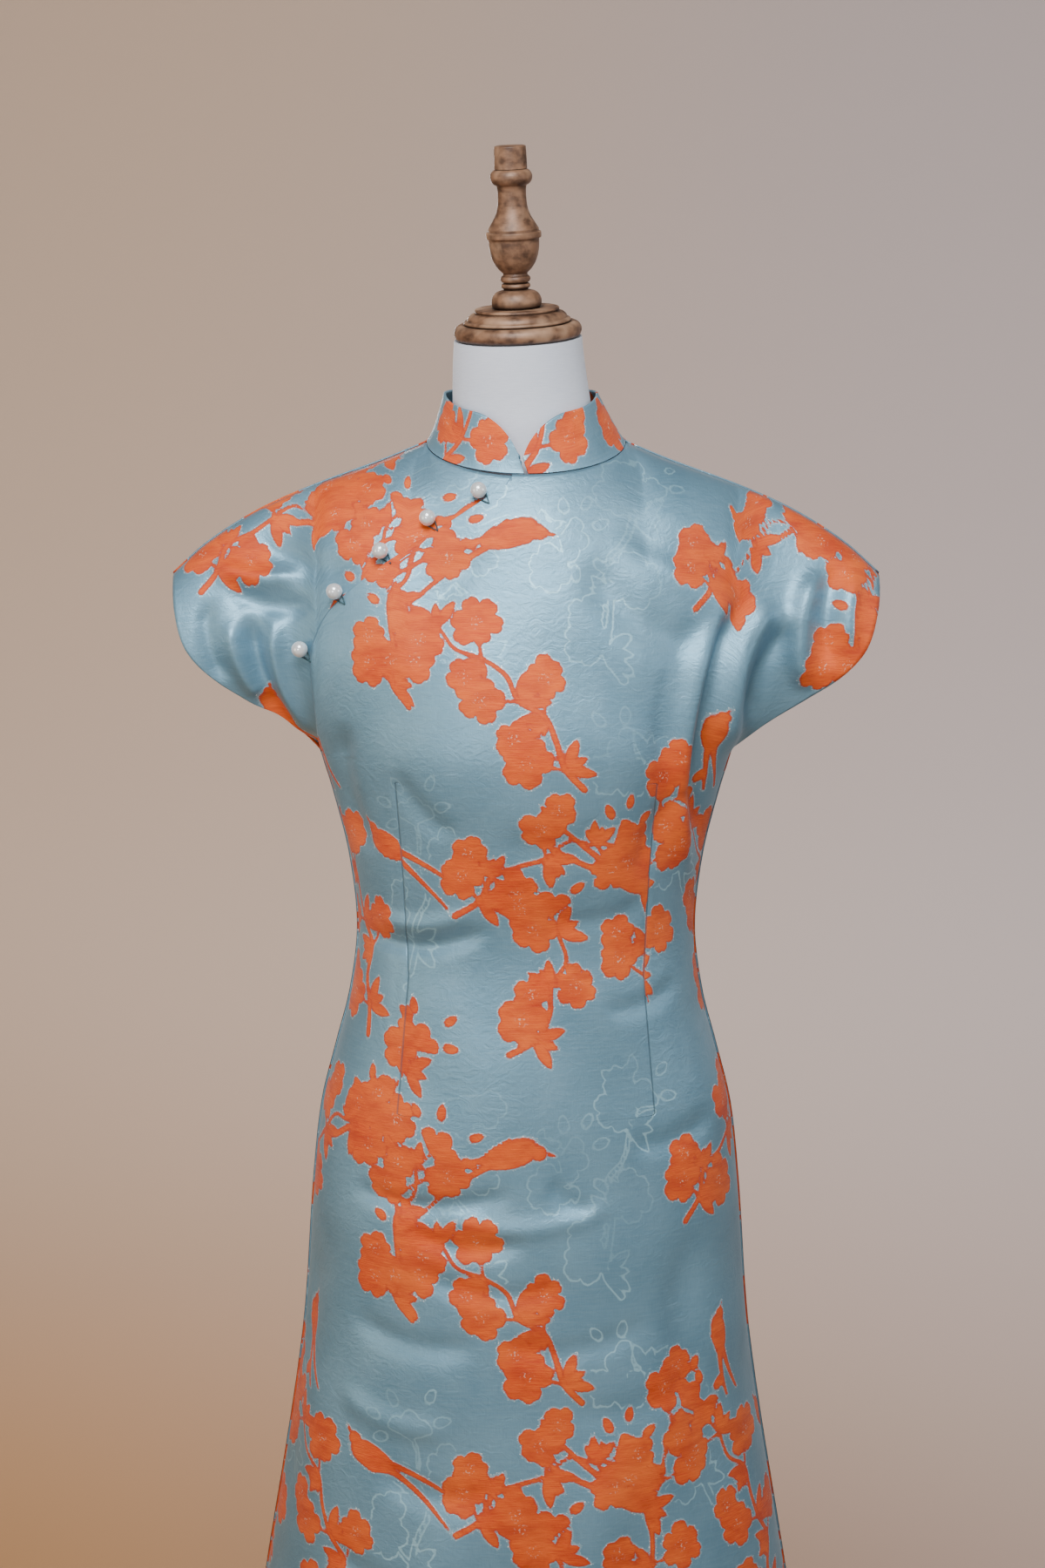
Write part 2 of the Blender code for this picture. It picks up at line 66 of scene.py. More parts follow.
class Look:
    """A Principled material, with short ways to add nodes and to join a value or an output to a socket."""

    def __init__(self, name, colour=(0.8, 0.8, 0.8), roughness=0.5, **inputs):
        self.mat = bpy.data.materials.new(name)
        self.mat.use_nodes = True
        self.inputs = self.mat.node_tree.nodes["Principled BSDF"].inputs
        self.join("Base Color", (*colour, 1.0))
        self.join("Roughness", roughness)
        for key, value in inputs.items():
            self.join(key.replace("_", " "), value)

    def join(self, key, value, sockets=None):
        socket = (self.inputs if sockets is None else sockets)[key]
        if isinstance(value, bpy.types.NodeSocket):
            self.mat.node_tree.links.new(value, socket)
        else:
            socket.default_value = value

    def node(self, kind, sockets=(), **settings):
        made = self.mat.node_tree.nodes.new(kind)
        for key, value in settings.items():
            setattr(made, key, value)
        for key, value in dict(sockets).items():
            self.join(key, value, made.inputs)
        return made

    def place(self):
        return self.node("ShaderNodeTexCoord").outputs["Object"]

    def math(self, operation, a, b=0.0, c=0.0):
        return self.node("ShaderNodeMath", {0: a, 1: b, 2: c}, operation=operation).outputs[0]

    def step(self, value, low, high, **settings):
        ends = {0: value, 1: low, 2: high, 3: 0.0, 4: 1.0}
        return self.node("ShaderNodeMapRange", ends, **settings).outputs[0]

    def mix(self, factor, a, b):
        return self.node("ShaderNodeMix", {0: factor, 6: a, 7: b}, data_type="RGBA").outputs[2]

    def noise(self, vector, scale, detail=2.0, rough=0.5, twist=0.0):
        place = self.node("ShaderNodeMapping", {"Vector": vector, "Scale": scale})
        return self.node("ShaderNodeTexNoise", {"Vector": place.outputs[0], "Scale": 1.0, "Detail": detail,
                                                "Roughness": rough, "Distortion": twist}).outputs[0]

    def bump(self, height, distance, strength):
        bumped = self.node("ShaderNodeBump", {"Height": height, "Distance": distance, "Strength": strength})
        self.join("Normal", bumped.outputs[0])


paper = Look("sweep_paper", roughness=0.95, Specular_IOR_Level=0.1)
paper_axes = paper.node("ShaderNodeSeparateXYZ", {0: paper.place()}).outputs


def paper_mix(axis, low, high, first, second):
    """A smooth change along one axis of the paper, from one tone to another."""
    share = paper.step(paper_axes[axis], low, high, interpolation_type="SMOOTHSTEP")
    return paper.mix(share, first, second)


# Painted light on the paper: close behind the stand it is a dark warm brown on the left, painted shade and
# painted warm lamp light, and further back a painted warm glow on the left fading to grey-pink on the right.
near_painted_light = paper_mix("X", -0.9, 0.9, (0.400, 0.205, 0.078, 1.0), (0.330, 0.250, 0.205, 1.0))
far_painted_light = paper_mix("X", -1.5, 1.5, (0.660, 0.500, 0.375, 1.0), (0.530, 0.470, 0.455, 1.0))
behind_painted_light = paper_mix("Y", 0.5, 3.8, near_painted_light, far_painted_light)
paper.join("Base Color", paper_mix("Y", -1.8, 0.2, (0.560, 0.520, 0.495, 1.0), behind_painted_light))
sweep_mesh.materials.append(paper.mat)

world = bpy.context.scene.world or bpy.data.worlds.new("studio")
bpy.context.scene.world = world
world.use_nodes = True
world.node_tree.nodes["Background"].inputs["Color"].default_value = (0.80, 0.86, 0.95, 1.0)
world.node_tree.nodes["Background"].inputs["Strength"].default_value = 0.13

# Soft lamps: a cool key high in front, a warm and a cool one at the sides, and two that light the paper.
LAMPS = (                   # name, place, aim, size, watts, colour
    ("key", (-0.15, -1.35, 2.45), (0.0, 0.0, 1.20), 0.9, 50.0, (0.96, 0.98, 1.0)),
    ("warm_side", (-2.4, -1.1, 1.1), (0.0, 0.0, 0.9), 1.2, 13.0, (1.0, 0.84, 0.68)),
    ("cool_side", (2.5, -1.0, 1.7), (0.0, 0.0, 1.0), 1.2, 13.0, (0.86, 0.93, 1.0)),
    ("wall", (0.9, 0.6, 2.9), (0.4, 6.0, 1.8), 2.4, 195.0, (1.0, 0.94, 0.93)),
    ("front_wall", (0.0, -1.2, 3.2), (0.0, -6.0, 1.6), 2.4, 120.0, (1.0, 0.97, 0.95)),
)


def place_lamp(name, kind, place, aim, watts, colour):
    """A lamp of one kind at a place, turned towards its aim."""
    lamp = bpy.data.lights.new(name, kind)
    lamp.energy = watts
    lamp.color = colour
    holder = bpy.data.objects.new(name, lamp)
    holder.location = place
    holder.rotation_euler = (Vector(aim) - Vector(place)).to_track_quat("-Z", "Y").to_euler()
    bpy.context.collection.objects.link(holder)
    return lamp


for name, place, aim, size, watts, colour in LAMPS:
    place_lamp(name, "AREA", place, aim, watts, colour).size = size

# Two narrow ones: one in front for the sheen on bust and waist, one behind, or the back is in the dark.
SPOTS = (                   # name, place, aim, cone in degrees, watts, colour
    ("front", (-0.75, -2.2, 1.35), (-0.03, 0.0, 1.06), 38.0, 50.0, (0.97, 0.98, 1.0)),
    ("back", (-0.6, 2.9, 1.6), (0.0, 0.0, 0.95), 46.0, 110.0, (1.0, 1.0, 1.0)),
)
for name, place, aim, cone, watts, colour in SPOTS:
    spot = place_lamp(name, "SPOT", place, aim, watts, colour)
    spot.spot_size, spot.spot_blend, spot.shadow_soft_size = math.radians(cone), 1.0, 0.35

# The camera stands two metres off at chest height and looks slightly down.
CAMERA_PITCH, CAMERA_DISTANCE, CAMERA_AIM = math.radians(8.0), 2.01, Vector((-0.0027, 0.0, 1.10))
view_camera = bpy.data.cameras.new("view")
view_camera.lens = 60.0
camera = bpy.data.objects.new("view", view_camera)
camera.rotation_euler = (0.5 * math.pi - CAMERA_PITCH, 0.0, 0.0)
away = Vector((0.0, -math.cos(CAMERA_PITCH), math.sin(CAMERA_PITCH)))
camera.location = CAMERA_AIM + away * CAMERA_DISTANCE
bpy.context.collection.objects.link(camera)
bpy.context.scene.camera = camera

# ---------------------------------------------------------------- the cut of the dress
# The dress is cut in three panels with the cap sleeves in one with them. The shape below is the draped
# dress: half widths and depths at each level, the fold over the shoulder, and the edges of the cut.
ARM_Z, NECK_Z, BUST_Z = 1.127, 1.361, 1.135
HEM_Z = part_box("front")[0][2]
NECK_X, NECK_FRONT, NECK_BACK, NECK_DROP, NECK_LIFT, NECK_SHARE = 0.075, 0.067, 0.058, 0.023, 0.011, 0.34
CROWN = {-1: (0.012, 0.005), 1: (0.105, -0.052)}
ROUND = {-1: 1.84, 1: 2.6}
BUST_SWELL, BUST_SPREAD, BUST_FALL, BUST_HEIGHT = 0.014, 0.060, 0.050, 0.080
SLEEVE_SWELL, ARMHOLE_SOFT, BACK_HEM_DROP = 0.034, 0.25, 0.004
CLOTH = 0.0011              # one thickness of brocade
SEAM_CLEAR = 0.0002         # half the gap where two panels meet
SILHOUETTE = (              # z, half width, front depth, back depth, squareness
    (1.380, 0.1720, 0.114, 0.100, 2.6),
    (1.210, 0.1690, 0.114, 0.102, 2.3),
    (1.160, 0.1640, 0.114, 0.101, 2.0),
    (1.127, 0.1565, 0.114, 0.100, 1.9),
    (1.095, 0.1470, 0.112, 0.098, 1.9),
    (1.045, 0.1350, 0.105, 0.093, 2.0),
    (0.990, 0.1295, 0.097, 0.088, 2.0),
    (0.940, 0.1355, 0.099, 0.094, 2.1),
    (0.896, 0.1470, 0.104, 0.106, 2.1),
    (0.850, 0.1585, 0.108, 0.118, 2.1),
    (0.790, 0.1655, 0.111, 0.126, 2.1),
    (0.660, 0.1760, 0.118, 0.133, 2.1),
    (0.470, 0.2065, 0.135, 0.150, 2.1),
    (0.280, 0.2380, 0.152, 0.168, 2.1),
)
SHOULDER = (                # x, z of the fold over the shoulder
    (0.075, 1.3610),
    (0.108, 1.3475),
    (0.160, 1.3285),
    (0.202, 1.3100),
    (0.242, 1.2850),
    (0.268, 1.2620),
)
SLEEVE_EDGE = (             # share of the edge from tip to underarm, x, z
    (0.00, 0.2680, 1.2620),
    (0.15, 0.2645, 1.2340),
    (0.30, 0.2560, 1.2070),
    (0.43, 0.2390, 1.1870),
    (0.63, 0.2110, 1.1670),
    (0.81, 0.1830, 1.1490),
    (1.00, 0.1565, 1.1270),
)
DIAGONAL = (                # z, distance of the closing's edge from the middle, on the wearer's right
    (1.338, 0.0000),
    (1.329, 0.0170),
    (1.299, 0.0635),
    (1.273, 0.1045),
    (1.250, 0.1340),
    (1.234, 0.1495),
    (1.212, 0.1595),
    (1.192, 0.1610),
    (1.160, 0.1585),
    (1.127, 0.1565),
)


def smooth(table, at):
    """The other columns of a table at places in its first column, on a smooth curve through its rows."""
    rows = np.array(sorted(table))
    at = np.clip(np.asarray(at, float), rows[0, 0], rows[-1, 0])
    k = np.clip(np.searchsorted(rows[:, 0], at, side="right") - 1, 0, len(rows) - 2)
    before, after = rows[np.maximum(k - 1, 0)], rows[np.minimum(k + 2, len(rows) - 1)]
    a, b = rows[k], rows[k + 1]
    span = b[..., :1] - a[..., :1]
    t = (at[..., None] - a[..., :1]) / span
    slope_a = (b - before) / (b[..., :1] - before[..., :1]) * span
    slope_b = (after - a) / (after[..., :1] - a[..., :1]) * span
    curve = (a * (1 + 2 * t) * (1 - t) ** 2 + slope_a * t * (1 - t) ** 2
             + b * (3 - 2 * t) * t ** 2 - slope_b * (1 - t) * t ** 2)
    return [curve[..., c] for c in range(1, rows.shape[1])]


def ease(t):
    """A soft step from 0 to 1."""
    t = np.clip(t, 0.0, 1.0)
    return t * t * (3 - 2 * t)


def neckline(turn):
    """x, y and z of the neckline, from the middle of the front (0) round to the middle of the back (pi)."""
    c = np.cos(turn)
    depth = np.where(c > 0, NECK_FRONT, NECK_BACK)
    fall = np.where(c > 0, NECK_DROP, NECK_LIFT)
    return NECK_X * np.sin(turn), -depth * c, NECK_Z - fall * c


def outline(side, u, v):
    """x and z in the upper body, for shares u across and v down, by blending its four edges."""
    turn = 0.5 * math.pi * np.minimum(u / NECK_SHARE, 1.0)
    neck_x, _, neck_z = neckline(turn if side < 0 else math.pi - turn)
    ridge_x = NECK_X + (SHOULDER[-1][0] - NECK_X) * np.clip((u - NECK_SHARE) / (1 - NECK_SHARE), 0.0, 1.0)
    ridge_z, = smooth(SHOULDER, ridge_x)
    on_neck = u < NECK_SHARE
    top = (np.where(on_neck, neck_x, ridge_x), np.where(on_neck, neck_z, ridge_z))
    arm_x = SLEEVE_EDGE[-1][1]
    bottom = (arm_x * np.sin(0.5 * math.pi * u), ARM_Z)
    middle_z = NECK_Z - NECK_DROP if side < 0 else NECK_Z + NECK_LIFT
    middle = (0.0, middle_z + (ARM_Z - middle_z) * v)
    outer = smooth(SLEEVE_EDGE, v)
    if side > 0:
        outer[1] = outer[1] - BACK_HEM_DROP * np.sin(math.pi * v)
    corners = ((0.0, middle_z), SHOULDER[-1], (arm_x, ARM_Z), (0.0, ARM_Z))
    return [(1 - v) * top[k] + v * bottom[k] + (1 - u) * middle[k] + u * outer[k]
            - (1 - u) * (1 - v) * corners[0][k] - u * (1 - v) * corners[1][k]
            - u * v * corners[2][k] - (1 - u) * v * corners[3][k] for k in (0, 1)]


def swell(side, x, z):
    """Depth of the cloth in front of the side seam (side -1) or behind it (+1), without its creases."""
    x = np.abs(x)
    half, front, back, square = smooth(SILHOUETTE, z)
    depth = front if side < 0 else back
    across = (x / half) ** square
    lower = depth * np.sqrt(np.maximum(1 - across, 0.0))
    inward = 1 - x / NECK_X
    over_neck = NECK_Z + CROWN[side][0] * inward + CROWN[side][1] * inward ** 2
    ridge = np.where(x < NECK_X, over_neck, smooth(SHOULDER, x)[0])
    climb = np.clip((z - ARM_Z) / (ridge - ARM_Z), 0.0, 1.0)
    room = 4 * climb * (1 - climb)
    chest = 0.5 * (1 - across + np.hypot(1 - across, ARMHOLE_SOFT * room))
    fullness = np.where(climb < 0.5, room, room ** 0.6)
    sleeve = SLEEVE_SWELL * fullness * ease((x - 0.05) / 0.07)
    upper = np.sqrt(depth ** 2 * chest * (1 - climb ** ROUND[side]) + sleeve ** 2)
    body = np.where(z > ARM_Z, upper, lower)
    if side < 0:
        body = body + (BUST_SWELL * np.exp(-((z - BUST_Z) / BUST_HEIGHT) ** 2)
                       * np.exp(-(np.maximum(x - BUST_SPREAD, 0.0) / BUST_FALL) ** 2)
                       * np.sqrt(np.maximum(1 - (x / 0.3) ** 2, 0.0)))
    return body


def cloth(side, u, s):
    """The cloth's outer face: u is -1 to 1 across, s is 0 to 1 down to the underarm and 2 at the hem."""
    share = np.abs(u)
    upper = s <= 1.0
    v = np.minimum(s, 1.0)
    x, z = outline(side, share, v)
    low_z = ARM_Z + (HEM_Z - ARM_Z) * (s - 1.0)
    z = np.where(upper, z, low_z)
    x = np.where(upper, x, smooth(SILHOUETTE, low_z)[0] * np.sin(0.5 * math.pi * share))
    y = swell(side, x, z) + SEAM_CLEAR
    turn = 0.5 * math.pi * np.minimum(share / NECK_SHARE, 1.0)
    neck_x, neck_y, neck_z = neckline(turn if side < 0 else math.pi - turn)
    lift = np.maximum(np.abs(neck_y), SEAM_CLEAR) - swell(side, neck_x, neck_z) - SEAM_CLEAR
    y = y + np.where(share < NECK_SHARE, lift, 0.0) * (1 - v) ** 3
    return np.stack([np.copysign(x, u), side * y, z], axis=-1)


def grid_normals(points, side):
    """Outward directions of a grid of points."""
    across = np.gradient(points, axis=1)
    down = np.gradient(points, axis=0)
    normals = np.cross(down, across) * -side
    return normals / np.maximum(np.linalg.norm(normals, axis=-1, keepdims=True), 1e-9)


def diagonal_share(s, inset):
    """Shares of rows, on the wearer's right, at which the diagonal edge lies, moved in by inset."""
    low, high = np.zeros_like(s), np.ones_like(s)
    for _ in range(30):
        middle = 0.5 * (low + high)
        x, z = outline(-1, middle, np.minimum(s, 1.0))
        short = x < np.maximum(smooth(DIAGONAL, z)[0] - inset, 0.0)
        low, high = np.where(short, middle, low), np.where(short, high, middle)
    return np.where(s >= 1.0, 1.0, high)


# ---------------------------------------------------------------- the figured design
# One repeat of the woven design, 365 mm wide and 470 mm long: x runs right and y down, in millimetres.
# It is composed of flowering sprays that each grow by one rule, with birds in the gaps. Angles are in
# degrees.
REPEAT_X, REPEAT_Y = 365.0, 470.0
START_X, START_Y = -182.5, 235.0
SPRAYS = (                  # root x, y, heading, bend along it, length, blossoms
    (40, 450, 85, 50, 200, 5),
    (130, 350, 60, -60, 150, 4),
    (225, 250, 105, 55, 190, 5),
    (310, 120, 70, -60, 150, 4),
    (290, 420, 110, -50, 180, 5),
    (95, 190, 120, -70, 150, 4),
    (170, 455, 35, 70, 130, 3),
    (20, 60, 15, 55, 120, 3),
)
BIRDS = (                   # x, y, body length, direction of the beak, length of the tail, its lift
    (170, 60, 46, 20, 74, -14),
    (62, 300, 42, 160, 62, 12),
    (262, 322, 48, -25, 74, 14),
    (345, 215, 34, 100, 40, -8),
)
DRAWN_SPRAYS = (            # those in the ground weave only: the same columns
    (75, 410, 50, 60, 150, 2),
    (255, 170, 110, -50, 160, 3),
    (150, 200, 70, 60, 140, 2),
    (335, 340, 95, 45, 150, 3),
    (100, 60, 30, -50, 120, 2),
)


def near(across, down, x, y):
    """Offsets right and up, in millimetres, from the nearest repeat of a place in the design."""
    dx = (across - x + 0.5 * REPEAT_X) % REPEAT_X - 0.5 * REPEAT_X
    dy = (down - y + 0.5 * REPEAT_Y) % REPEAT_Y - 0.5 * REPEAT_Y
    return dx, -dy


def blossom(dx, dy, radius, petals, turn):
    """A blossom seen from above: how far inside its scalloped edge a place lies."""
    reach, bearing = np.hypot(dx, dy), np.arctan2(dy, dx) - math.radians(turn)
    lobe = np.abs(np.cos(0.5 * petals * bearing)) ** 0.42
    nick = 0.07 * np.abs(np.cos(0.5 * petals * bearing)) ** 30
    uneven = 1 + 0.07 * np.sin(2 * bearing + turn) + 0.04 * np.sin(3 * bearing + 2 * turn)
    return (radius * uneven * (0.64 + 0.42 * lobe - nick) - reach) * 0.9


def side_blossom(dx, dy, radius, direction):
    """A blossom seen from the side: a fan of petals opening out of a small cup."""
    a = math.radians(direction)
    along, across = dx * math.cos(a) + dy * math.sin(a), dy * math.cos(a) - dx * math.sin(a)
    reach, bearing = np.hypot(along + 0.45 * radius, across), np.arctan2(across, along + 0.45 * radius)
    lobe = np.abs(np.cos(3.6 * bearing)) ** 0.45
    fan = radius * (0.98 + 0.36 * lobe - 0.10 * np.abs(bearing)) - reach
    return np.minimum(fan, (1.18 - np.abs(bearing)) * np.maximum(reach, 0.25 * radius))


def leaf(dx, dy, length, direction, plump=0.38):
    """A pointed leaf that starts at the place and runs in the direction: two arcs that meet at tips."""
    a = math.radians(direction)
    along = dx * math.cos(a) + dy * math.sin(a) - 0.5 * length
    across = np.abs(dy * math.cos(a) - dx * math.sin(a) + 0.10 * length * (along / length) ** 2)
    half, width = 0.5 * length, 0.5 * plump * length
    bend = (half ** 2 + width ** 2) / (2 * width)
    return bend - np.hypot(along, across + bend - width)


def bud(dx, dy, length, direction):
    """A small plump bud centred on the place."""
    a = math.radians(direction)
    along, across = dx * math.cos(a) + dy * math.sin(a), dy * math.cos(a) - dx * math.sin(a)
    wide = 0.30 * length * (1 - 0.35 * along / length)
    return (1 - np.hypot(along / (0.52 * length), across / wide)) * 0.36 * length


def branch(across, down, turns):
    """A branch through a few turns, with its width at each, softened into a curve."""
    path = np.array(turns, float)
    t = np.linspace(0, len(path) - 1, 6 * (len(path) - 1) + 1)
    x, y, width = (smooth([(k, *row) for k, row in enumerate(path)], t))
    inside = np.full(across.shape, -99.0)
    for k in range(len(t) - 1):
        dx, dy = near(across, down, x[k], y[k])
        ex, ey = x[k + 1] - x[k], y[k] - y[k + 1]
        share = np.clip((dx * ex + dy * ey) / (ex * ex + ey * ey), 0.0, 1.0)
        wide = 0.39 * (width[k] + (width[k + 1] - width[k]) * share)
        inside = np.maximum(inside, wide - np.hypot(dx - ex * share, dy - ey * share))
    return inside


def bird(dx, dy, length, direction, tail, lift):
    """A perched bird: a plump body, a head and beak, ragged back feathers and two long tail plumes."""
    a = math.radians(direction)
    along, across = dx * math.cos(a) + dy * math.sin(a), dy * math.cos(a) - dx * math.sin(a)
    wide = 0.23 * length * (1 + 0.5 * along / length)
    ragged = 0.16 * np.abs(np.sin(along * 0.9 + 0.5 * across)) * (along < 0.1 * length) * (across > 0)
    body = (1 - np.hypot(along / (0.5 * length), across / np.maximum(wide, 1.0)) + ragged) * 0.24 * length
    head = 0.135 * length - np.hypot(along - 0.46 * length, across + 0.13 * length)
    beak = leaf(along - 0.54 * length, across + 0.16 * length, 0.22 * length, -35, 0.34)
    wing = leaf(along + 0.50 * length, across - 0.02 * length, 0.62 * length, 12, 0.30)
    inside = np.maximum(np.maximum(body, head), np.maximum(beak, wing))
    for side in (-1, 1):
        back = np.clip(-(along + 0.30 * length) / tail, 0.0, 1.0)
        centre = side * (0.05 * length + 0.13 * tail * back) + lift * back ** 2
        plume = (2.9 - 1.5 * back) - np.abs(across - centre)
        end = np.minimum(-(along + 0.28 * length), along + 0.30 * length + tail)
        inside = np.maximum(inside, np.minimum(plume, end))
    return inside


def spray(x, y, heading, bend, length, blossoms):
    """A flowering branch grown from its root: branches, blossoms, its end blossom, leaf fans and buds."""
    steps = max(round(length / 22), 4)
    turns = [(x, y, 7.0)]
    for k in range(1, steps + 1):
        way = math.radians(heading + bend * k / steps + 22 * math.sin(2.3 * k + 0.05 * heading))
        x, y = x + math.cos(way) * length / steps, y - math.sin(way) * length / steps
        turns.append((x, y, 7.0 - 3.8 * k / steps))
    branches, flowers, fans = [turns], [], []
    for j in range(blossoms):
        k = min(int((j + 0.7) / blossoms * steps), steps - 1)
        (ax, ay, _), (bx, by, _) = turns[k:k + 2]
        along, side = math.degrees(math.atan2(ay - by, bx - ax)), 1 - 2 * (j % 2)
        out = math.radians(along + 62 * side)
        reach = 18 + 5 * ((3 * j + blossoms) % 3)
        fx, fy = ax + reach * math.cos(out), ay - reach * math.sin(out)
        branches.append(((ax, ay, 4.0), (fx, fy, 3.0)))
        flowers.append((fx, fy, 19 - 1.6 * ((2 * j + steps) % 3), 5 + j % 2, 37 * j))
        if j % 2 == 0:
            flowers.append((fx + 20 * math.cos(out - 0.9), fy - 20 * math.sin(out - 0.9), 14, 5, 61 * j))
        fans.append((ax, ay, 25 - 4 * (j % 2), along - 40 * side, along - 118 * side, 3 + j % 2))
    buds = []
    for k, turn in enumerate((-70, -30, 35, 75, 110)):
        way = math.radians(along + turn)
        away = 27 + 5 * (k % 2)
        buds.append((x + away * math.cos(way), y - away * math.sin(way), 13 - k % 2, along + turn))
    return branches, flowers, (x, y, 17, along), fans, buds


def sprays_over(across, down, sprays):
    """How far inside the sprays a place lies, and how far it is from the nearest blossom's heart."""
    inside, heart = np.full(across.shape, -40.0), np.full(across.shape, 40.0)
    for row in sprays:
        branches, flowers, end, fans, buds = spray(*row)
        shapes = [branch(across, down, turns) for turns in branches]
        for x, y, radius, petals, turn in flowers:
            dx, dy = near(across, down, x, y)
            shapes.append(blossom(dx, dy, radius, petals, turn))
            heart = np.minimum(heart, np.hypot(dx, dy))
        shapes.append(side_blossom(*near(across, down, *end[:2]), *end[2:]))
        for x, y, length, first, last, leaves in fans:
            for k in range(leaves):
                direction = first + (last - first) * k / (leaves - 1)
                shapes.append(leaf(*near(across, down, x, y), length * (1 - 0.22 * (k % 2)), direction))
        shapes += [bud(*near(across, down, x, y), *shape) for x, y, *shape in buds]
        for shape in shapes:
            inside = np.maximum(inside, shape)
    return inside, heart


def weave_design(across, down):
    """The figures, the drawing in the ground and the blossom hearts, in millimetres, over the cloth."""
    figure, heart = sprays_over(across, down, SPRAYS)
    for x, y, *shape in BIRDS:
        figure = np.maximum(figure, bird(*near(across, down, x, y), *shape))
    drawing, _ = sprays_over(across, down, DRAWN_SPRAYS)
    return figure, drawing, heart


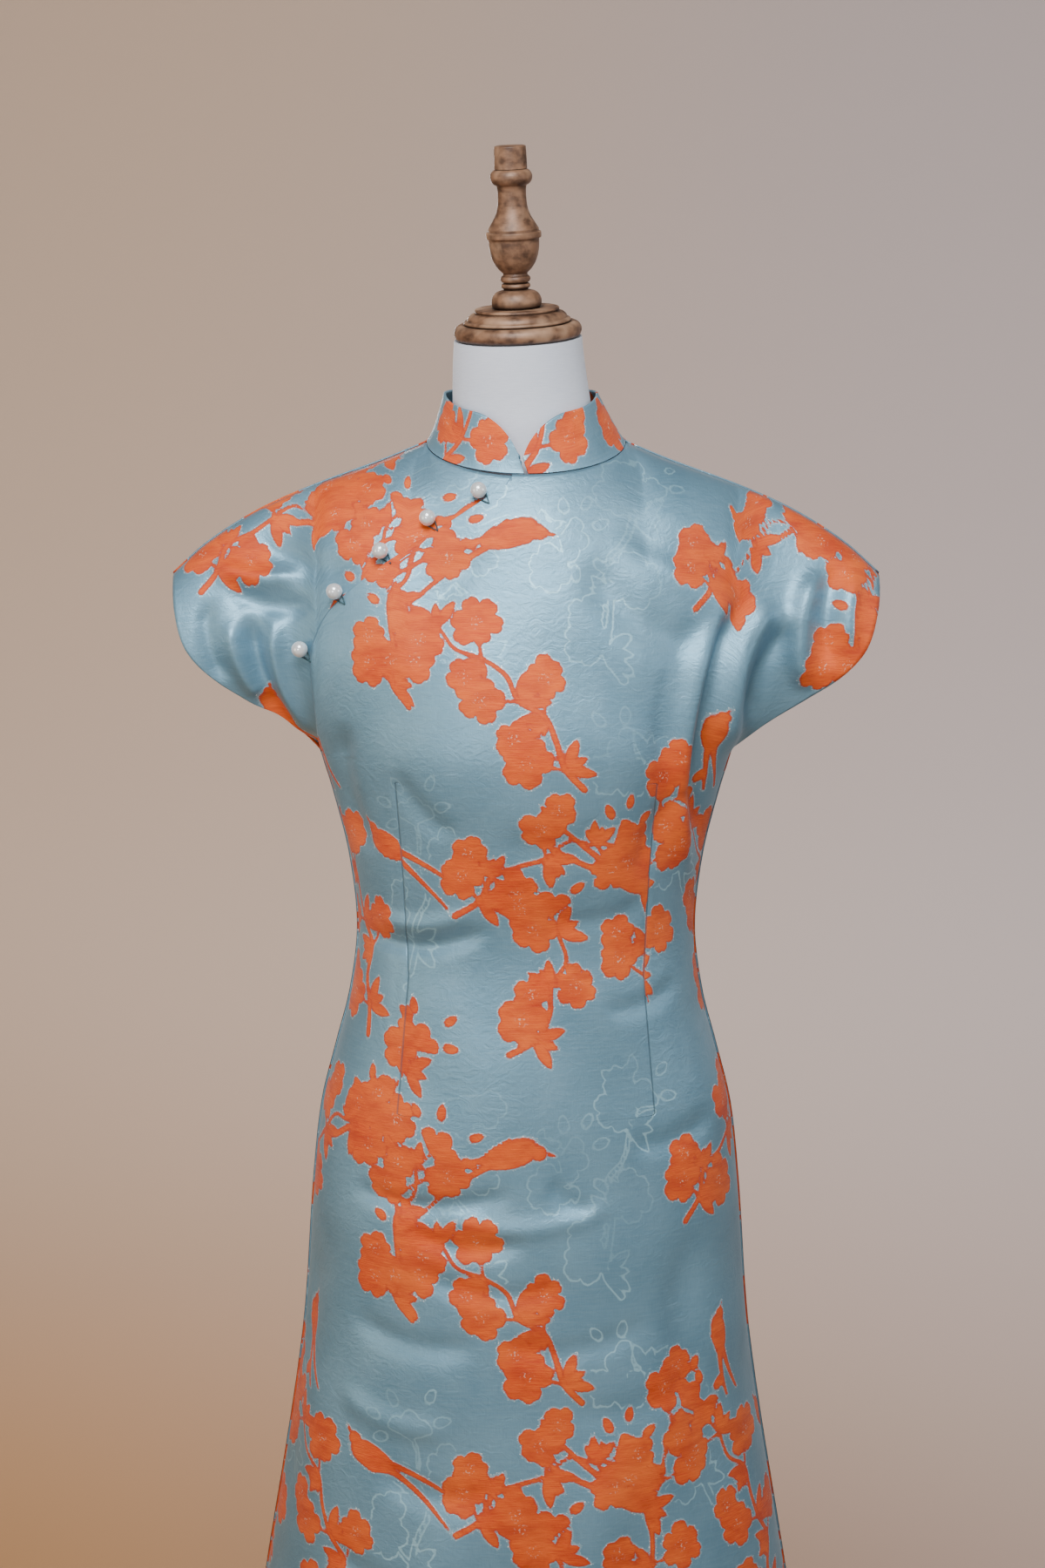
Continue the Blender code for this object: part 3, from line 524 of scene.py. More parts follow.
# ---------------------------------------------------------------- the brocade
# Real piece: satin brocade, steel-blue warp satin with orange figures, edged in pale blue thread.
# The figures stand a little proud of the satin, and the ground carries a fine drawing in its own colour.
def brocade_cloth(name, right_side=True):
    """The brocade's look, from the woven figures that each panel carries and noise in cloth metres."""
    look = Look(name, Specular_IOR_Level=0.42, Sheen_Weight=0.12, Sheen_Roughness=0.45,
                Sheen_Tint=(0.75, 0.85, 0.90, 1.0), Anisotropic=0.55)
    node, math_node, step, mix = look.node, look.math, look.step, look.mix

    def noise(stretch, *shape):
        return look.noise(chart, (*stretch, 1.0), *shape)

    chart = node("ShaderNodeUVMap", uv_map="Cloth").outputs[0]
    read = {key: node("ShaderNodeAttribute", attribute_name=key).outputs["Fac"]
            for key in ("figure", "drawing", "heart", "seam")}
    fray = math_node("MULTIPLY", math_node("SUBTRACT", noise((420, 900)), 0.5), 1.5)
    figure = math_node("ADD", read["figure"], fray)
    in_figure = step(figure, -0.15, 0.35)
    rim = math_node("MULTIPLY", in_figure, math_node("SUBTRACT", 1.0, step(figure, 0.5, 1.6)))
    halo = math_node("MULTIPLY", step(figure, -1.25, -0.75), math_node("SUBTRACT", 1.0, in_figure))
    ground_only = math_node("SUBTRACT", 1.0, step(figure, -3.4, -2.4))
    wobble = math_node("MULTIPLY", math_node("SUBTRACT", noise((160, 160)), 0.5), 2.6)
    stroke = math_node("ABSOLUTE", math_node("ADD", read["drawing"], wobble))
    stroke = math_node("SUBTRACT", 1.0, step(stroke, 0.35, 0.95))
    faint = step(noise((9, 9), 1.0), 0.38, 0.60)
    stroke = math_node("MULTIPLY", math_node("MULTIPLY", stroke, ground_only),
                       math_node("MULTIPLY_ADD", faint, 0.75, 0.25))
    weft = noise((70, 1500), 3.0, 0.7)
    slub = noise((45, 620), 3.0, 0.7)
    cloudy = noise((22, 16), 2.0)
    warp = noise((2400, 90), 2.0, 0.6)
    blue = mix(step(cloudy, 0.3, 0.7), (0.150, 0.300, 0.400, 1), (0.200, 0.370, 0.480, 1))
    blue = mix(math_node("MULTIPLY", step(slub, 0.42, 0.75), 0.5), blue, (0.250, 0.410, 0.500, 1))
    blue = mix(math_node("MULTIPLY", step(warp, 0.35, 0.75), 0.25), blue, (0.085, 0.185, 0.245, 1))
    blue = mix(math_node("MULTIPLY", stroke, 0.80), blue, (0.360, 0.610, 0.700, 1))
    orange = mix(step(weft, 0.30, 0.72), (0.530, 0.036, 0.005, 1), (0.830, 0.140, 0.012, 1))
    orange = mix(math_node("MULTIPLY", step(cloudy, 0.35, 0.7), 0.35), orange, (0.860, 0.210, 0.030, 1))
    uneven = noise((26, 75), 3.0, 0.6, 0.5)
    orange = mix(math_node("MULTIPLY", step(uneven, 0.42, 0.72), 0.6), orange, (0.380, 0.020, 0.005, 1))
    orange = mix(math_node("MULTIPLY", rim, 0.65), orange, (0.420, 0.030, 0.010, 1))
    sprinkle = step(noise((520, 520), 1.0), 0.60, 0.66)
    stamen = math_node("MULTIPLY", sprinkle, math_node("SUBTRACT", 1.0, step(read["heart"], 3.0, 6.5)))
    orange = mix(math_node("MULTIPLY", stamen, 0.5), orange, (0.700, 0.560, 0.420, 1))
    colour = mix(math_node("MULTIPLY", halo, 0.48), blue, (0.400, 0.560, 0.610, 1))
    colour = mix(in_figure, colour, orange)
    # Near-white flecks in the outer part of the pale halo round the figures: painted glints on the thread.
    painted_glint = math_node("MULTIPLY", step(noise((700, 700), 0.0), 0.70, 0.74), step(figure, -2.0, -1.0))
    painted_glint = math_node("MULTIPLY", painted_glint, math_node("SUBTRACT", 1.0, step(figure, -0.2, 0.2)))
    colour = mix(painted_glint, colour, (0.85, 0.88, 0.88, 1))
    stitched = math_node("SUBTRACT", 1.0, step(math_node("ABSOLUTE", read["seam"]), 0.25, 0.9))
    colour = mix(math_node("MULTIPLY", stitched, 0.55), colour, (0.040, 0.080, 0.100, 1))
    if not right_side:
        colour = mix(0.55, colour, (0.150, 0.200, 0.210, 1))
    look.join("Base Color", colour)
    rough = math_node("MULTIPLY_ADD", in_figure, 0.20, 0.44)
    rough = math_node("MULTIPLY_ADD", slub, 0.16, math_node("SUBTRACT", rough, 0.05))
    look.join("Roughness", rough)
    look.join("Metallic", math_node("MULTIPLY_ADD", in_figure, -0.42, 0.55))
    tangent = node("ShaderNodeTangent", direction_type="UV_MAP", uv_map="Cloth")
    look.join("Tangent", tangent.outputs[0])
    crinkle = noise((85, 110), 4.0, 0.58, 1.8)
    relief = math_node("MULTIPLY_ADD", step(figure, -0.5, 0.7), 0.26, 0.0)
    relief = math_node("MULTIPLY_ADD", crinkle, 0.62, relief)
    relief = math_node("MULTIPLY_ADD", weft, math_node("MULTIPLY_ADD", in_figure, 0.30, 0.04), relief)
    relief = math_node("MULTIPLY_ADD", slub, 0.06, relief)
    relief = math_node("MULTIPLY_ADD", stroke, -0.05, relief)
    relief = math_node("MULTIPLY_ADD", stitched, -0.6, relief)
    look.bump(relief, 0.0010, 0.75)
    return look.mat


brocade = brocade_cloth("brocade_face")
brocade_wrong = brocade_cloth("brocade_wrong_side", right_side=False)

# ---------------------------------------------------------------- how the cloth lies
# Soft creases, listed one by one: where the bodice strains over the bust, under the arms, at the waist and
# across the hips and skirt. Height is out from the cloth, negative for a trough.
CREASES = {                 # by panel: from x, z, to x, z, half width, height (metres)
    "front": (
        (0.045, 1.268, 0.120, 1.215, 0.016, -0.0030),
        (-0.030, 1.285, -0.085, 1.205, 0.013, -0.0018),
        (0.075, 1.300, 0.180, 1.262, 0.012, -0.0022),
        (0.090, 1.285, 0.200, 1.225, 0.012, 0.0020),
        (0.162, 1.250, 0.134, 1.060, 0.009, -0.0062),
        (0.141, 1.235, 0.120, 1.040, 0.008, 0.0046),
        (0.122, 1.230, 0.100, 1.130, 0.009, -0.0020),
        (0.178, 1.240, 0.150, 1.130, 0.010, 0.0055),
        (0.196, 1.225, 0.168, 1.150, 0.008, -0.0040),
        (0.215, 1.262, 0.208, 1.180, 0.009, 0.0055),
        (0.232, 1.268, 0.228, 1.195, 0.008, -0.0045),
        (0.248, 1.262, 0.244, 1.212, 0.007, 0.0030),
        (0.120, 1.110, 0.085, 1.045, 0.009, -0.0020),
        (-0.095, 1.118, -0.055, 1.075, 0.009, -0.0016),
        (-0.136, 1.150, -0.120, 1.060, 0.009, -0.0030),
        (-0.118, 0.990, -0.030, 1.003, 0.007, -0.0026),
        (-0.110, 1.006, -0.040, 1.018, 0.007, 0.0018),
        (0.020, 1.010, 0.090, 1.022, 0.009, -0.0014),
        (-0.020, 1.070, 0.060, 1.078, 0.014, -0.0016),
        (0.060, 0.942, 0.112, 0.955, 0.008, -0.0014),
        (-0.125, 0.800, -0.015, 0.806, 0.008, -0.0028),
        (-0.060, 0.786, 0.060, 0.794, 0.008, 0.0020),
        (-0.085, 0.772, -0.005, 0.768, 0.007, -0.0022),
        (0.018, 0.815, 0.048, 0.792, 0.008, -0.0020),
        (0.080, 0.840, 0.140, 0.852, 0.010, -0.0016),
        (-0.080, 0.742, 0.030, 0.735, 0.009, -0.0020),
        (-0.130, 0.700, -0.040, 0.690, 0.010, -0.0020),
        (-0.020, 0.690, 0.090, 0.702, 0.010, -0.0018),
        (-0.140, 0.640, -0.060, 0.625, 0.010, 0.0018),
        (0.030, 0.640, 0.130, 0.655, 0.012, -0.0016),
        (-0.110, 0.585, -0.030, 0.575, 0.012, -0.0022),
        (-0.150, 0.520, -0.080, 0.500, 0.012, -0.0022),
        (0.120, 0.760, 0.165, 0.560, 0.016, -0.0030),
        (-0.150, 0.760, -0.185, 0.520, 0.016, -0.0028),
        (0.060, 0.600, 0.085, 0.300, 0.026, 0.0045),
        (-0.050, 0.560, -0.070, 0.290, 0.028, 0.0040),
        (0.005, 0.520, 0.005, 0.290, 0.024, -0.0035),
    ),
    "right": (
        (-0.232, 1.268, -0.170, 1.262, 0.008, 0.0045),
        (-0.222, 1.250, -0.165, 1.240, 0.008, -0.0030),
        (-0.205, 1.290, -0.130, 1.268, 0.010, -0.0022),
        (-0.206, 1.230, -0.176, 1.140, 0.009, -0.0055),
        (-0.222, 1.228, -0.196, 1.168, 0.008, 0.0048),
        (-0.188, 1.230, -0.162, 1.130, 0.008, 0.0045),
        (-0.240, 1.240, -0.228, 1.185, 0.007, -0.0030),
    ),
    "back": (
        (0.050, 1.280, 0.130, 1.190, 0.014, -0.0030),
        (-0.060, 1.270, -0.140, 1.185, 0.014, -0.0028),
        (0.165, 1.240, 0.120, 1.100, 0.010, -0.0055),
        (-0.170, 1.245, -0.124, 1.105, 0.010, -0.0050),
        (0.195, 1.235, 0.160, 1.140, 0.009, 0.0050),
        (-0.198, 1.232, -0.158, 1.135, 0.009, 0.0050),
        (-0.100, 1.030, 0.020, 1.018, 0.009, -0.0026),
        (-0.030, 0.998, 0.105, 1.008, 0.008, -0.0026),
        (-0.090, 0.975, 0.050, 0.968, 0.009, 0.0020),
        (-0.120, 0.800, 0.020, 0.790, 0.010, -0.0024),
        (0.000, 0.755, 0.130, 0.768, 0.010, -0.0022),
        (-0.080, 0.600, -0.100, 0.300, 0.028, 0.0045),
        (0.070, 0.610, 0.090, 0.300, 0.028, 0.0042),
        (-0.005, 0.560, 0.000, 0.290, 0.026, -0.0040),
    ),
}
CREASE_DEPTH = 1.6           # how much of the table's heights is used
DARTS = {                   # panel: z and distance from the middle, down a fisheye dart
    "front": ((1.113, 0.0965), (1.045, 0.0920), (0.965, 0.0885), (0.910, 0.0930), (0.862, 0.0970)),
    "back": ((1.090, 0.0860), (1.020, 0.0780), (0.975, 0.0760), (0.910, 0.0780), (0.835, 0.0830)),
}
DART_INTAKE = 0.014
RELAX_PASSES = 160


def levels_down(upper, lower_fine, lower_wide):
    """Rows of a panel, close together in the bodice and hips and wider apart low in the skirt."""
    split = (ARM_Z - 0.45) / (ARM_Z - HEM_Z)
    return np.concatenate([np.linspace(0, 1, upper, endpoint=False),
                           1 + np.linspace(0, split, lower_fine, endpoint=False),
                           1 + np.linspace(split, 1, lower_wide + 1)])


def chart_of(side, points):
    """Where each point lies on the flat cloth, in metres right of the middle and up from the underarm."""
    xs, zs = np.arange(0.0, 0.272, 0.002), np.arange(ARM_Z, 1.376, 0.001)
    depth = swell(side, *np.meshgrid(xs, zs, indexing="ij"))
    over = np.zeros_like(depth)
    over[1:] = np.cumsum(np.hypot(0.002, np.diff(depth, axis=0)), axis=0)
    climb = np.zeros_like(depth)
    climb[:, 1:] = np.cumsum(np.hypot(0.001, np.diff(depth, axis=1)), axis=1)
    i = np.clip(np.abs(points[..., 0]) / 0.002, 0, len(xs) - 1.001)
    j = np.clip((points[..., 2] - ARM_Z) / 0.001, 0, len(zs) - 1.001)
    a, b = i.astype(int), j.astype(int)
    fi, fj = i - a, j - b

    def sample(table):
        return ((1 - fi) * (1 - fj) * table[a, b] + fi * (1 - fj) * table[a + 1, b]
                + (1 - fi) * fj * table[a, b + 1] + fi * fj * table[a + 1, b + 1])

    step = np.linalg.norm(np.diff(points, axis=1), axis=-1)
    along = np.concatenate([np.zeros((len(points), 1)), np.cumsum(step, axis=1)], axis=1)
    middle = np.argmin(np.abs(points[..., 0]), axis=1)
    along = along - along[np.arange(len(points)), middle][:, None]
    low_z = np.arange(HEM_Z - 0.01, ARM_Z + 0.001, 0.001)
    middle_depth = swell(side, np.zeros_like(low_z), low_z)
    fall = np.concatenate([[0.0], np.cumsum(np.hypot(0.001, np.diff(middle_depth)))])
    low = np.interp(points[..., 2], low_z, fall - fall[-1])
    upper = points[..., 2] >= ARM_Z - 1e-6
    return (np.where(upper, np.copysign(sample(over), points[..., 0]), np.copysign(np.abs(along), along)),
            np.where(upper, sample(climb), low))


def crease(panels, points, normals):
    """Points moved along their normals by the creases of the named panels, and by a slight unevenness."""
    x, z = points[..., 0], points[..., 2]
    lift = 0.0007 * (np.sin(41 * x + 23 * z + 1.1) + np.sin(-29 * x + 37 * z)
                     + np.sin(67 * z + 18 * x) * np.sin(25 * x + 0.4)) * ease((ARM_Z + 0.18 - z) / 0.05)
    away_from_seam = ease((np.abs(points[..., 1]) - 0.002) / 0.030)
    for from_x, from_z, to_x, to_z, half_width, height in [row for panel in panels for row in CREASES[panel]]:
        ex, ez = to_x - from_x, to_z - from_z
        length = math.hypot(ex, ez)
        share = ((x - from_x) * ex + (z - from_z) * ez) / length ** 2
        bow = 0.08 * length * np.sin(math.pi * np.clip(share, 0, 1))
        away = ((x - from_x) * ez - (z - from_z) * ex) / length - bow
        beyond = np.maximum(np.maximum(-share, share - 1), 0.0) * length
        fade = np.clip(np.minimum(share, 1 - share) * 3.2 + 0.35, 0.0, 1.0)
        hump = np.exp(-(away / half_width) ** 2 - (beyond / (1.5 * half_width)) ** 2)
        lift = lift + CREASE_DEPTH * height * ease(fade) * hump
    return points + normals * (lift * away_from_seam)[..., None]


def relax(points, side, u, s):
    """Points with the fold that runs down from the side of the neck softened away, below the collar."""
    near_fold = np.exp(-((np.abs(u) - NECK_SHARE) / 0.20) ** 2) * ease((1.0 - s) / 0.3)
    near_fold = (near_fold * ease((s + 0.004) / 0.09))[..., None]
    points = points.copy()
    for _ in range(RELAX_PASSES):
        mean = 0.25 * points[:, :-2] + 0.5 * points[:, 1:-1] + 0.25 * points[:, 2:]
        points[:, 1:-1] += (mean - points[:, 1:-1]) * near_fold[:, 1:-1]
    points[..., 1] = side * np.maximum(points[..., 1] * side, SEAM_CLEAR)
    return points


def dart_distance(panel, x, z):
    """Signed millimetres from the nearer dart's line, and how far down the dart the place lies."""
    rows = DARTS[panel]
    share = (rows[0][0] - z) / (rows[0][0] - rows[-1][0])
    line = np.interp(z, [row[0] for row in rows[::-1]], [row[1] for row in rows[::-1]])
    gone = np.maximum(np.maximum(-share, share - 1), 0.0) * 1000 * (rows[0][0] - rows[-1][0])
    off = (np.abs(x) - line) * 1000
    return np.where(gone > 0, np.hypot(off, gone) + 0.3, off), np.clip(share, 0, 1)


def grid_object(name, points, material, attributes=(), chart=None, flip=False):
    """A smooth mesh over a grid of points, with its figures as attributes and its cloth chart as UVs."""
    rows, columns = points.shape[:2]
    index = np.arange(rows * columns).reshape(rows, columns)
    corners = (index[:-1, :-1], index[1:, :-1], index[1:, 1:], index[:-1, 1:])
    quads = np.stack(corners, axis=-1).reshape(-1, 4)
    if flip:
        quads = quads[:, ::-1]
    mesh = bpy.data.meshes.new(name)
    mesh.from_pydata(points.reshape(-1, 3).tolist(), [], quads.tolist())
    for key, values in attributes:
        carried = mesh.attributes.new(key, "FLOAT", "POINT").data
        carried.foreach_set("value", values.astype(np.float32).ravel())
    if chart is not None:
        flat = np.stack(chart, axis=-1).reshape(-1, 2)[quads.ravel()]
        mesh.uv_layers.new(name="Cloth").data.foreach_set("uv", flat.astype(np.float32).ravel())
    mesh.shade_smooth()
    mesh.materials.append(material)
    piece = bpy.data.objects.new(name, mesh)
    bpy.context.collection.objects.link(piece)
    return piece


def area_of(points):
    """Area of a grid of points, in square metres."""
    diagonal_a, diagonal_b = points[1:, 1:] - points[:-1, :-1], points[1:, :-1] - points[:-1, 1:]
    return float(0.5 * np.linalg.norm(np.cross(diagonal_a, diagonal_b), axis=-1).sum())


TUCK = 4                    # rows of the grid that an edge is turned under by
WRONG_SIDE_GAP = 0.0006     # from the cloth's thickness to its wrong side


def panel(name, points, normals, chart, dart=None, shift=(0.0, 0.0)):
    """One panel: its right side with the edges turned under, and its wrong side behind."""
    across, down = chart
    seam = np.full(across.shape, 30.0)
    if dart:
        seam, share = dart_distance(dart, points[..., 0], points[..., 2])
        taken = np.where(seam > 0, DART_INTAKE * np.sin(math.pi * share), 0.0)
        across = across + np.copysign(taken, points[..., 0])
        groove = 0.0006 * np.exp(-(seam / 3.0) ** 2) + 0.0003 * np.exp(-((np.abs(seam) - 7) / 4.0) ** 2)
        points = points - normals * groove[..., None]
    woven_x, woven_y = (across + shift[0]) * 1000 - START_X, START_Y - (down + shift[1]) * 1000
    keys = tuple(zip(("figure", "drawing", "heart", "seam"), (*weave_design(woven_x, woven_y), seam)))
    rows, columns = points.shape[:2]
    row = np.concatenate([[TUCK, 0], np.arange(rows), [rows - 1, rows - 1 - TUCK]])
    column = np.concatenate([[TUCK, 0], np.arange(columns), [columns - 1, columns - 1 - TUCK]])
    under = np.ones((len(row), len(column)))
    under[2:-2, 2:-2] = 0.0
    pick = np.ix_(row, column)
    folded = points[pick] - normals[pick] * (CLOTH * under)[..., None]
    face = grid_object(name, folded, brocade, [(key, value[pick]) for key, value in keys],
                       (across[pick], down[pick]))
    pick = np.ix_(*(np.unique(np.append(np.arange(1, count - 1, 2), count - 2)) for count in (rows, columns)))
    behind = points[pick] - normals[pick] * (CLOTH + WRONG_SIDE_GAP)
    lining = grid_object(name + "_wrong_side", behind, brocade_wrong,
                         [(key, value[pick]) for key, value in keys], (across[pick], down[pick]), flip=True)
    for piece in (face, lining):
        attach(piece, "root")
    return face, lining, area_of(points)


# ---------------------------------------------------------------- back
# Real piece: one panel of brocade with the backs of both cap sleeves cut in one, two waist darts.
# Its shoulder and side edges are turned in and sewn to the two fronts; sleeve edges and hem are faced.
back_s = levels_down(94, 280, 40)
back_u = np.linspace(1, -1, 197)
back_points = cloth(1, back_u[None, :] + 0 * back_s[:, None], back_s[:, None] + 0 * back_u[None, :])
back_chart = chart_of(1, back_points)
back_points = relax(back_points, 1, back_u + 0 * back_s[:, None], back_s[:, None])
back_points = crease(("back",), back_points, grid_normals(back_points, 1))
back_face, back_lining, back_area = panel("dress_back", back_points, grid_normals(back_points, 1), back_chart,
                                          dart="back", shift=(0.110, 0.060))
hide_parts("back")

# ---------------------------------------------------------------- front
# Real piece: the large front with the left sleeve cut in one, closing over the right front.
# Its diagonal edge is turned under and pressed; two fisheye darts shape the waist.
front_s = levels_down(98, 284, 40)
front_edge = np.maximum(diagonal_share(front_s, 0.0), 0.030)
front_left = np.linspace(1, 0, 98, endpoint=False)
front_right = np.linspace(0, 1, 99) + 0 * front_s[:, None]
front_u = np.concatenate([-front_edge[:, None] * front_left, front_right], axis=1)
front_points = cloth(-1, front_u, front_s[:, None] + 0 * front_u)
front_chart = chart_of(-1, front_points)
front_points = relax(front_points, -1, front_u, front_s[:, None])
front_points = crease(("front",), front_points, grid_normals(front_points, -1))
front_face, front_lining, front_area = panel("dress_front", front_points, grid_normals(front_points, -1),
                                             front_chart, dart="front")
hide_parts("front")

# ---------------------------------------------------------------- right front
# Real piece: the right chest and right sleeve cut in one, which runs on under the closing's edge.
# It is sewn in at the shoulder and side, and the pearls are sewn to it along the edge.
right_s = np.concatenate([np.linspace(0, 0.97, 94), [0.985, 1.0, 1.02, 1.04]])
right_outer = np.where(right_s < 0.97, 1.0, 0.90)
right_inner = np.clip(diagonal_share(np.minimum(right_s, 0.99), 0.040), 0.012, 0.6)
right_share = np.linspace(0, 1, 130)
right_u = -(right_outer[:, None] + (right_inner - right_outer)[:, None] * right_share)
right_points = cloth(-1, right_u, right_s[:, None] + 0 * right_u)
right_chart = chart_of(-1, right_points)
right_points = relax(right_points, -1, right_u, right_s[:, None])
right_points = crease(("front", "right"), right_points, grid_normals(right_points, -1))
edge_z = np.linspace(DIAGONAL[0][0], DIAGONAL[-1][0], 60)
edge_x = smooth(DIAGONAL, edge_z)[0]
right_x, right_z = np.abs(right_points[..., 0]), right_points[..., 2]
gap = np.hypot(right_x[..., None] - edge_x, right_z[..., None] - edge_z).min(-1)
inside_edge = (right_z < DIAGONAL[0][0]) & (right_x < smooth(DIAGONAL, right_z)[0])
gap = np.where(inside_edge, -gap, gap)
sunk = 0.0024 * (1 - ease((gap - 0.003) / 0.034)) * (1 + 0.8 * ease((right_s[:, None] - 0.75) / 0.18))
right_points = right_points - grid_normals(right_points, -1) * sunk[..., None]
right_points[..., 1] = np.minimum(right_points[..., 1], -SEAM_CLEAR)
right_face, right_lining, right_area = panel("dress_right_front", right_points,
                                             grid_normals(right_points, -1), right_chart,
                                             shift=(0.022, -0.018))
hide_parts("right_front")

# ---------------------------------------------------------------- collar
# Real piece: a stand collar of two layers of brocade over a stiff interlining, its front corners rounded.
# It is sewn round the neckline and meets in a notch at the middle of the front.
COLLAR_WALL, COLLAR_CORNER, COLLAR_LIFT, COLLAR_SHIFT = 0.0016, 0.045, 0.0008, -0.004
COLLAR_RISE, COLLAR_RISE_FRONT, COLLAR_LEAN, COLLAR_LEAN_SIDE = 0.036, 0.006, 0.008, 0.009
half_turns = 0.02 + (math.pi - 0.02) * np.linspace(0, 1, 110) ** 1.3
turns = np.concatenate([-half_turns[:-1], half_turns[::-1]])
height = np.linspace(1, 0, 22)[:, None]
base_x, base_y, base_z = neckline(np.abs(turns))
corner = np.minimum(NECK_X * np.abs(turns) / COLLAR_CORNER, 1.0)
rise = (COLLAR_RISE + COLLAR_RISE_FRONT * np.cos(turns)) * np.sqrt(1 - (1 - corner) ** 2)
lean = (COLLAR_LEAN + COLLAR_LEAN_SIDE * np.sin(turns) ** 2) * rise / COLLAR_RISE * height ** 0.8
around = np.hypot(base_x, base_y)
collar_x = np.copysign(base_x * (1 - lean / around), turns) + COLLAR_SHIFT * height
collar_y, collar_z = base_y * (1 - lean / around), base_z + COLLAR_LIFT + rise * height
collar_points = np.stack([collar_x, collar_y, collar_z], axis=-1)
out = grid_normals(collar_points, 1)
out = out * np.sign((out[..., :1] * collar_points[..., :1] + out[..., 1:2] * collar_points[..., 1:2]))
wave = 0.0004 * np.sin(9 * turns + 0.7) * np.sin(math.pi * height)
collar_points = collar_points + out * wave[..., None]
run = np.concatenate([[0.0], np.cumsum(np.hypot(np.diff(base_x * np.sign(turns)), np.diff(base_y)))])
collar_across = run - 0.5 * run[-1] + 0 * height
collar_down = (rise * height) + 0.0 * turns
woven = weave_design(collar_across * 1000 - START_X, START_Y - collar_down * 1000 + 150)
collar_keys = zip(("figure", "drawing", "heart", "seam"), (*woven, np.full(collar_across.shape, 30.0)))
rows, columns = collar_points.shape[:2]
loop = np.concatenate([np.arange(rows), np.arange(rows)[::-1]])
column = np.concatenate([[0], np.arange(columns), [columns - 1]])
deep = np.concatenate([np.zeros(rows), np.ones(rows)])[:, None] + np.zeros(len(column))
deep[:, 0], deep[:, -1] = deep[:, 1], deep[:, -2]
pick = np.ix_(loop, column)
collar_body = collar_points[pick] - out[pick] * (COLLAR_WALL * deep)[..., None]
middle_of_end = 0.5 * (collar_body[:rows] + collar_body[rows:][::-1])
for end in (0, -1):
    collar_body[:rows, end] = middle_of_end[:, end]
    collar_body[rows:, end] = middle_of_end[::-1, end]


def round_collar(values):
    """Values at the collar's points, taken along both of its layers from the lower inside edge."""
    return np.concatenate([values[pick][rows - 1:], values[pick][:rows]])


collar = grid_object("dress_collar", np.concatenate([collar_body[rows - 1:], collar_body[:rows]]), brocade,
                     [(key, round_collar(value)) for key, value in collar_keys],
                     [round_collar(collar_across), round_collar(collar_down)])
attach(collar, "root")
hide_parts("collar")

# ---------------------------------------------------------------- pearls
# Real pieces: five pearl beads, each on a short shank sewn to the right front at the closing's edge.
# Two fine dark thread loops run from the edge of the front round each pearl's foot.
nacre = Look("nacre", (0.80, 0.79, 0.76), 0.20, Coat_Weight=0.8, Coat_Roughness=0.05, Metallic=0.35)
swirl = nacre.node("ShaderNodeTexNoise", {"Vector": nacre.place(), "Scale": 160.0, "Distortion": 1.2})
swirl = swirl.outputs[0]
nacre.join("Base Color", nacre.mix(swirl, (0.82, 0.80, 0.76, 1.0), (0.60, 0.68, 0.72, 1.0)))
nacre.bump(swirl, 0.0002, 0.3)
nacre.join("Sheen Weight", nacre.node("ShaderNodeLayerWeight", {0: 0.45}).outputs["Facing"])
thread = Look("dark_thread", (0.020, 0.060, 0.070), 0.55)
PEARL_RADIUS, PEARL_FORWARD = 0.0060, -0.0008
THREAD_RADIUS, LOOP_END = 0.00045, (0.0078, -0.0096)
for number in range(1, 6):
    low, high = [Vector(point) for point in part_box(f"button_{number}")]
    middle = 0.5 * (low + high) + Vector((0.0, PEARL_FORWARD, 0.0))
    bpy.ops.object.select_all(action="DESELECT")
    bpy.ops.mesh.primitive_uv_sphere_add(segments=40, ring_count=24, radius=PEARL_RADIUS, location=middle)
    bpy.ops.object.transform_apply(location=True, rotation=True, scale=True)
    bpy.ops.object.shade_smooth()
    pearl = bpy.context.object
    pearl.name = f"pearl_{number}"
    pearl.data.materials.append(nacre.mat)
    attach(pearl, "root")
    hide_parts(f"button_{number}")
    loops = bpy.data.curves.new(f"loop_{number}", "CURVE")
    loops.dimensions = "3D"
    loops.bevel_depth = THREAD_RADIUS
    loops.bevel_resolution = 3
    for start_x, start_z in ((-0.0020, -0.0052), (0.0052, -0.0018)):
        strand = loops.splines.new("BEZIER")
        strand.bezier_points.add(2)
        for knot, share in zip(strand.bezier_points, (0.0, 0.5, 1.0)):
            at_x = middle.x + start_x + (LOOP_END[0] - start_x) * share
            at_z = middle.z + start_z + (LOOP_END[1] - start_z) * share
            hits = [face.ray_cast(Vector((at_x, -0.4, at_z)), Vector((0.0, 1.0, 0.0)))
                    for face in (front_face, right_face)]
            surface = min(hit[1].y for hit in hits if hit[0])
            knot.co = (at_x, surface - 0.0006 - 0.0012 * (1 - share), at_z)
            knot.handle_left_type = knot.handle_right_type = "AUTO"
    loop = bpy.data.objects.new(f"loop_{number}", loops)
    bpy.context.collection.objects.link(loop)
    loops.materials.append(thread.mat)
    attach(loop, "root")

# ---------------------------------------------------------------- the dress form's linen
# Real piece: a padded torso in a tight cover of plain linen, sewn in panels and pinned under the cap.
linen = Look("linen_cover", (0.68, 0.72, 0.79), 0.90, Sheen_Weight=0.3)
linen_place = linen.place()
warp_yarn = linen.noise(linen_place, (1500.0, 1500.0, 350.0))
weft_yarn = linen.noise(linen_place, (120.0, 120.0, 1900.0))
linen.bump(linen.math("ADD", warp_yarn, weft_yarn), 0.0003, 0.35)
linen.join("Base Color", linen.mix(weft_yarn, (0.55, 0.59, 0.68, 1.0), (0.69, 0.725, 0.79, 1.0)))

